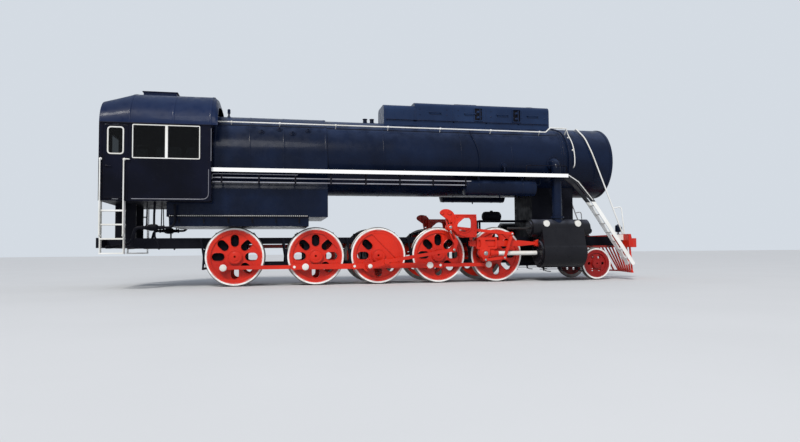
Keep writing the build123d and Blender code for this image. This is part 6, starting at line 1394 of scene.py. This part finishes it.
@piece(red_paint)
def beam_bolts(bm):
    """Bolts and lamp irons of the front beam."""
    z = (beam_low.z + beam_high.z) / 2
    for side in SIDES:
        for y, up in product((0.35, 0.5, 0.65, 0.95, 1.1, 1.25, 1.4), (-0.13, 0.13)):
            bolt(bm, (beam_high.x, side * y, z + up), FORWARD, 0.015, 0.018)
        x, iron_z = (beam_high.x, beam_high.x + 0.012), (beam_high.z - 0.1, beam_high.z)
        side_block(bm, side, x, span(1, 0.02), iron_z, 0.003)


# Inside of the cab, and its handrails

seat_low, seat_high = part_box("crew_seats")
SEAT_X = (seat_low.x + seat_high.x) / 2
SEAT_HALF_X, SEAT_HALF_Y = seat_high.x - SEAT_X, 0.19
SEAT_Y = seat_high.y - SEAT_HALF_Y
PAN_Z = seat_high.z - 0.075
CUSHION_Z, CUSHION_HEIGHT = PAN_Z + 0.004, 0.069
SEAT_STEPS = 56


@piece(under_paint)
def seat_frames(bm):
    """Steel pans and posts of the seats."""
    tall = PAN_Z - seat_low.z
    post = ((0.12, 0), (0.12, 0.012), (0.05, 0.03), (0.042, 0.06), (0.042, tall - 0.02), (0.09, tall))
    for side in SIDES:
        lathe(bm, post, (SEAT_X, side * SEAT_Y, seat_low.z), UP, 28)
        x, y = span(SEAT_X, SEAT_HALF_X - 0.012), span(SEAT_Y, SEAT_HALF_Y - 0.012)
        side_block(bm, side, x, y, (PAN_Z - 0.008, CUSHION_Z), 0.003)


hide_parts("crew_seats")


def seat_point(name, step, margin, share, up):
    """Point of a cushion's outline, within a margin and drawn in to a share, at a share of the height."""
    across, over = polar(1, 360 * step / SEAT_STEPS)
    share /= (abs(across) ** 5 + abs(over) ** 5) ** 0.2
    x = SEAT_X + share * across * (SEAT_HALF_X - margin)
    y = SIDE_OF[name] * SEAT_Y + share * over * (SEAT_HALF_Y - margin)
    return x, y, CUSHION_Z + up * CUSHION_HEIGHT


@piece_for_each(SIDE_OF, seat_leather)
def seat_cushion(bm, name):
    """Crowned leather cushion, drawn in a little between the middles of its sides and its corners."""
    # Levels: share of the height, share of the half width, from the flat underside to the crown
    levels = ((0, 0), (0, 0.5), (0, 0.9), (0.06, 0.965), (0.2, 0.99), (0.4, 1), (0.56, 0.99), (0.68, 0.955),
              (0.78, 0.88), (0.86, 0.75), (0.92, 0.58), (0.965, 0.38), (0.99, 0.18), (1, 0))
    rings = []
    for up, share in levels:
        depth = 0.035 if 0.1 < up < 0.75 else 0.0105
        ring = []
        for step in range(SEAT_STEPS if share else 1):
            dent = depth * (1 - cos(4 * pi * step / SEAT_STEPS) ** 4)
            ring.append(seat_point(name, step, 0.004, share * (1 - share * dent), up))
        rings.append(ring)
    skin(bm, rings)


for cushion in seat_cushion:
    smoothing = cushion.modifiers.new("smoothing", "SUBSURF")
    smoothing.levels = smoothing.render_levels = 1


@piece_for_each(SIDE_OF, seat_leather)
def seat_piping(bm, name):
    tube(bm, [seat_point(name, step, 0.006, 0.97, 0.66) for step in range(SEAT_STEPS + 1)], 0.004, 6)


BACKHEAD = -4.7


@piece(fitting_brass)
def backhead_valves(bm):
    """Handwheels and pipes on the boiler's back, inside the cab."""
    places = ((-0.75, 3.55), (-0.6, 3.9), (0.62, 3.62), (0.78, 3.3), (-0.82, 3.1), (0.3, 3.25), (-0.25, 3.35))
    for y, height in places:
        hub = at(BACKHEAD - 0.09, y, height)
        tube(bm, (at(BACKHEAD, y, height), at(BACKHEAD - 0.1, y, height)), 0.013, 8)
        torus(bm, hub, BACK, 0.055, 0.009, 24, 6)
        for offset in circle(0.055, 3, 90):
            tube(bm, (hub, hub + Vector((0, *offset))), 0.006, 6)
    x = BACKHEAD - 0.03
    for y, top in ((-0.68, 4.1), (0.68, 4.1), (0, 4.35)):
        tube(bm, rounded((at(x, y, top), at(x, y * 1.2, 3), at(x, y * 1.2, 2.5)), 0.1), 0.014, 8)


@piece(rod_steel)
def backhead_dials(bm):
    profile = ((0.07, 0), (0.075, 0.02), (0.075, 0.04), (0.066, 0.046), (0.06, 0.04), (0, 0.04))
    for y, height in ((0.12, 4.28), (-0.16, 4.28), (0.42, 4.1)):
        lathe(bm, profile, at(BACKHEAD - 0.001, y, height), BACK, 28)


@piece(white_paint)
def rail_feet(bm):
    """Round feet of the handrails beside the cab's ladders."""
    low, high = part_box("cab_ladders")
    profile = ((0.034, -0.002), (0.034, 0.008), (0.022, 0.014), (0.015, 0.014))
    for side, x, height in product(SIDES, (low.x + 0.01, high.x - 0.01), (3.15, 1.3)):
        lathe(bm, profile, (x, side * CAB_Y, above(height)), OUT[side], 16)


@piece(white_paint)
def handrail_knobs(bm):
    """Ball knobs where the boiler handrails pass through their stanchions."""
    profile = ((0.019, -0.028), (0.028, -0.02), (0.033, 0), (0.028, 0.02), (0.019, 0.028))
    for side, distance in product(SIDES, (-3.9, -2.65, -1.15, 0.3, 1.8, 3.3, 4.8)):
        lathe(bm, profile, at(distance, side * 0.85, 4.3), FORWARD, 16)


# Floor, light and camera

def floor():
    """Pale floor under the engine."""
    size = 200.0
    mesh = bpy.data.meshes.new("floor")
    corners = [(x * size, y * size, 0) for x, y in ((-1, -1), (1, -1), (1, 1), (-1, 1))]
    mesh.from_pydata(corners, [], [(0, 1, 2, 3)])
    g = Graph("floor_surface")
    tone = g.mix(g.ramp(g.noise(0.4, 4), 0.3, 0.7), (0.61, 0.62, 0.63), (0.625, 0.635, 0.645))
    g.put(g.shader, {"Base Color": tone, "Roughness": 0.9, "Specular IOR Level": 0.05})
    mesh.materials.append(g.material)
    add_object("floor", mesh)


def aimed(name, light, direction):
    """Light that shines along a direction."""
    made = add_object(name, light)
    made.rotation_mode = "QUATERNION"
    made.rotation_quaternion = Vector(direction).to_track_quat("-Z", "Y")
    return made


def studio():
    """Soft sun from the photograph's side, pale plain backdrop, and a wide panel for a calm highlight."""
    world = bpy.data.worlds.new("studio")
    bpy.context.scene.world = world
    world.use_nodes = True
    tree = world.node_tree
    lighting = tree.nodes["Background"]
    lighting.inputs["Color"].default_value = (0.8, 0.87, 1.0, 1.0)
    lighting.inputs["Strength"].default_value = 0.5
    backdrop = tree.nodes.new("ShaderNodeBackground")
    backdrop.inputs["Color"].default_value = (0.66, 0.71, 0.77, 1.0)
    rays = tree.nodes.new("ShaderNodeLightPath")
    seen = rays.outputs["Is Camera Ray"]
    for ray_name in ("Is Glossy Ray", "Is Transmission Ray"):
        either = tree.nodes.new("ShaderNodeMath")
        either.operation = "MAXIMUM"
        tree.links.new(seen, either.inputs[0])
        tree.links.new(rays.outputs[ray_name], either.inputs[1])
        seen = either.outputs["Value"]
    blend = tree.nodes.new("ShaderNodeMixShader")
    tree.links.new(seen, blend.inputs["Fac"])
    tree.links.new(lighting.outputs["Background"], blend.inputs[1])
    tree.links.new(backdrop.outputs["Background"], blend.inputs[2])
    tree.links.new(blend.outputs["Shader"], tree.nodes["World Output"].inputs["Surface"])
    sun = bpy.data.lights.new("sun", "SUN")
    sun.energy = 2.3
    sun.color = (1.0, 0.97, 0.92)
    sun.angle = radians(14)
    aimed("sun", sun, (0.42, 0.72, -0.8))
    panel = bpy.data.lights.new("panel", "AREA")
    panel.shape = "DISK"
    panel.size = 14.0
    panel.energy = 3400
    place, target = Vector((-6, -34, 24)), Vector((0, 0, 2.2))
    aimed("panel", panel, target - place).location = place


# Camera of the photograph: place in the row frame, turned towards +x, tilted up, slightly rolled
CAMERA_PLACE = (-3.50, -17.59, 0.89)
CAMERA_YAW = radians(11.85)
CAMERA_PITCH = radians(2.78)
CAMERA_ROLL = radians(-0.5)
FOCAL_PIXELS = 620.0
IMAGE_WIDTH = 800.0
SENSOR = 36.0


def camera():
    level = Vector((cos(CAMERA_YAW), -sin(CAMERA_YAW), 0))
    flat = Vector((sin(CAMERA_YAW), cos(CAMERA_YAW), 0))
    forward = flat * cos(CAMERA_PITCH) + Vector(UP) * sin(CAMERA_PITCH)
    up = level.cross(forward)
    right = level * cos(CAMERA_ROLL) + up * sin(CAMERA_ROLL)
    top = up * cos(CAMERA_ROLL) - level * sin(CAMERA_ROLL)
    data = bpy.data.cameras.new("photo_camera")
    data.sensor_width = SENSOR
    data.lens = FOCAL_PIXELS / IMAGE_WIDTH * SENSOR
    data.clip_end = 500
    made = add_object("photo_camera", data)
    turn = Matrix((right, top, -forward)).transposed().to_4x4()
    made.matrix_world = Matrix.Translation(Vector(CAMERA_PLACE)) @ turn
    bpy.context.scene.camera = made


floor()
studio()
camera()
bpy.context.scene.view_settings.view_transform = "Standard"
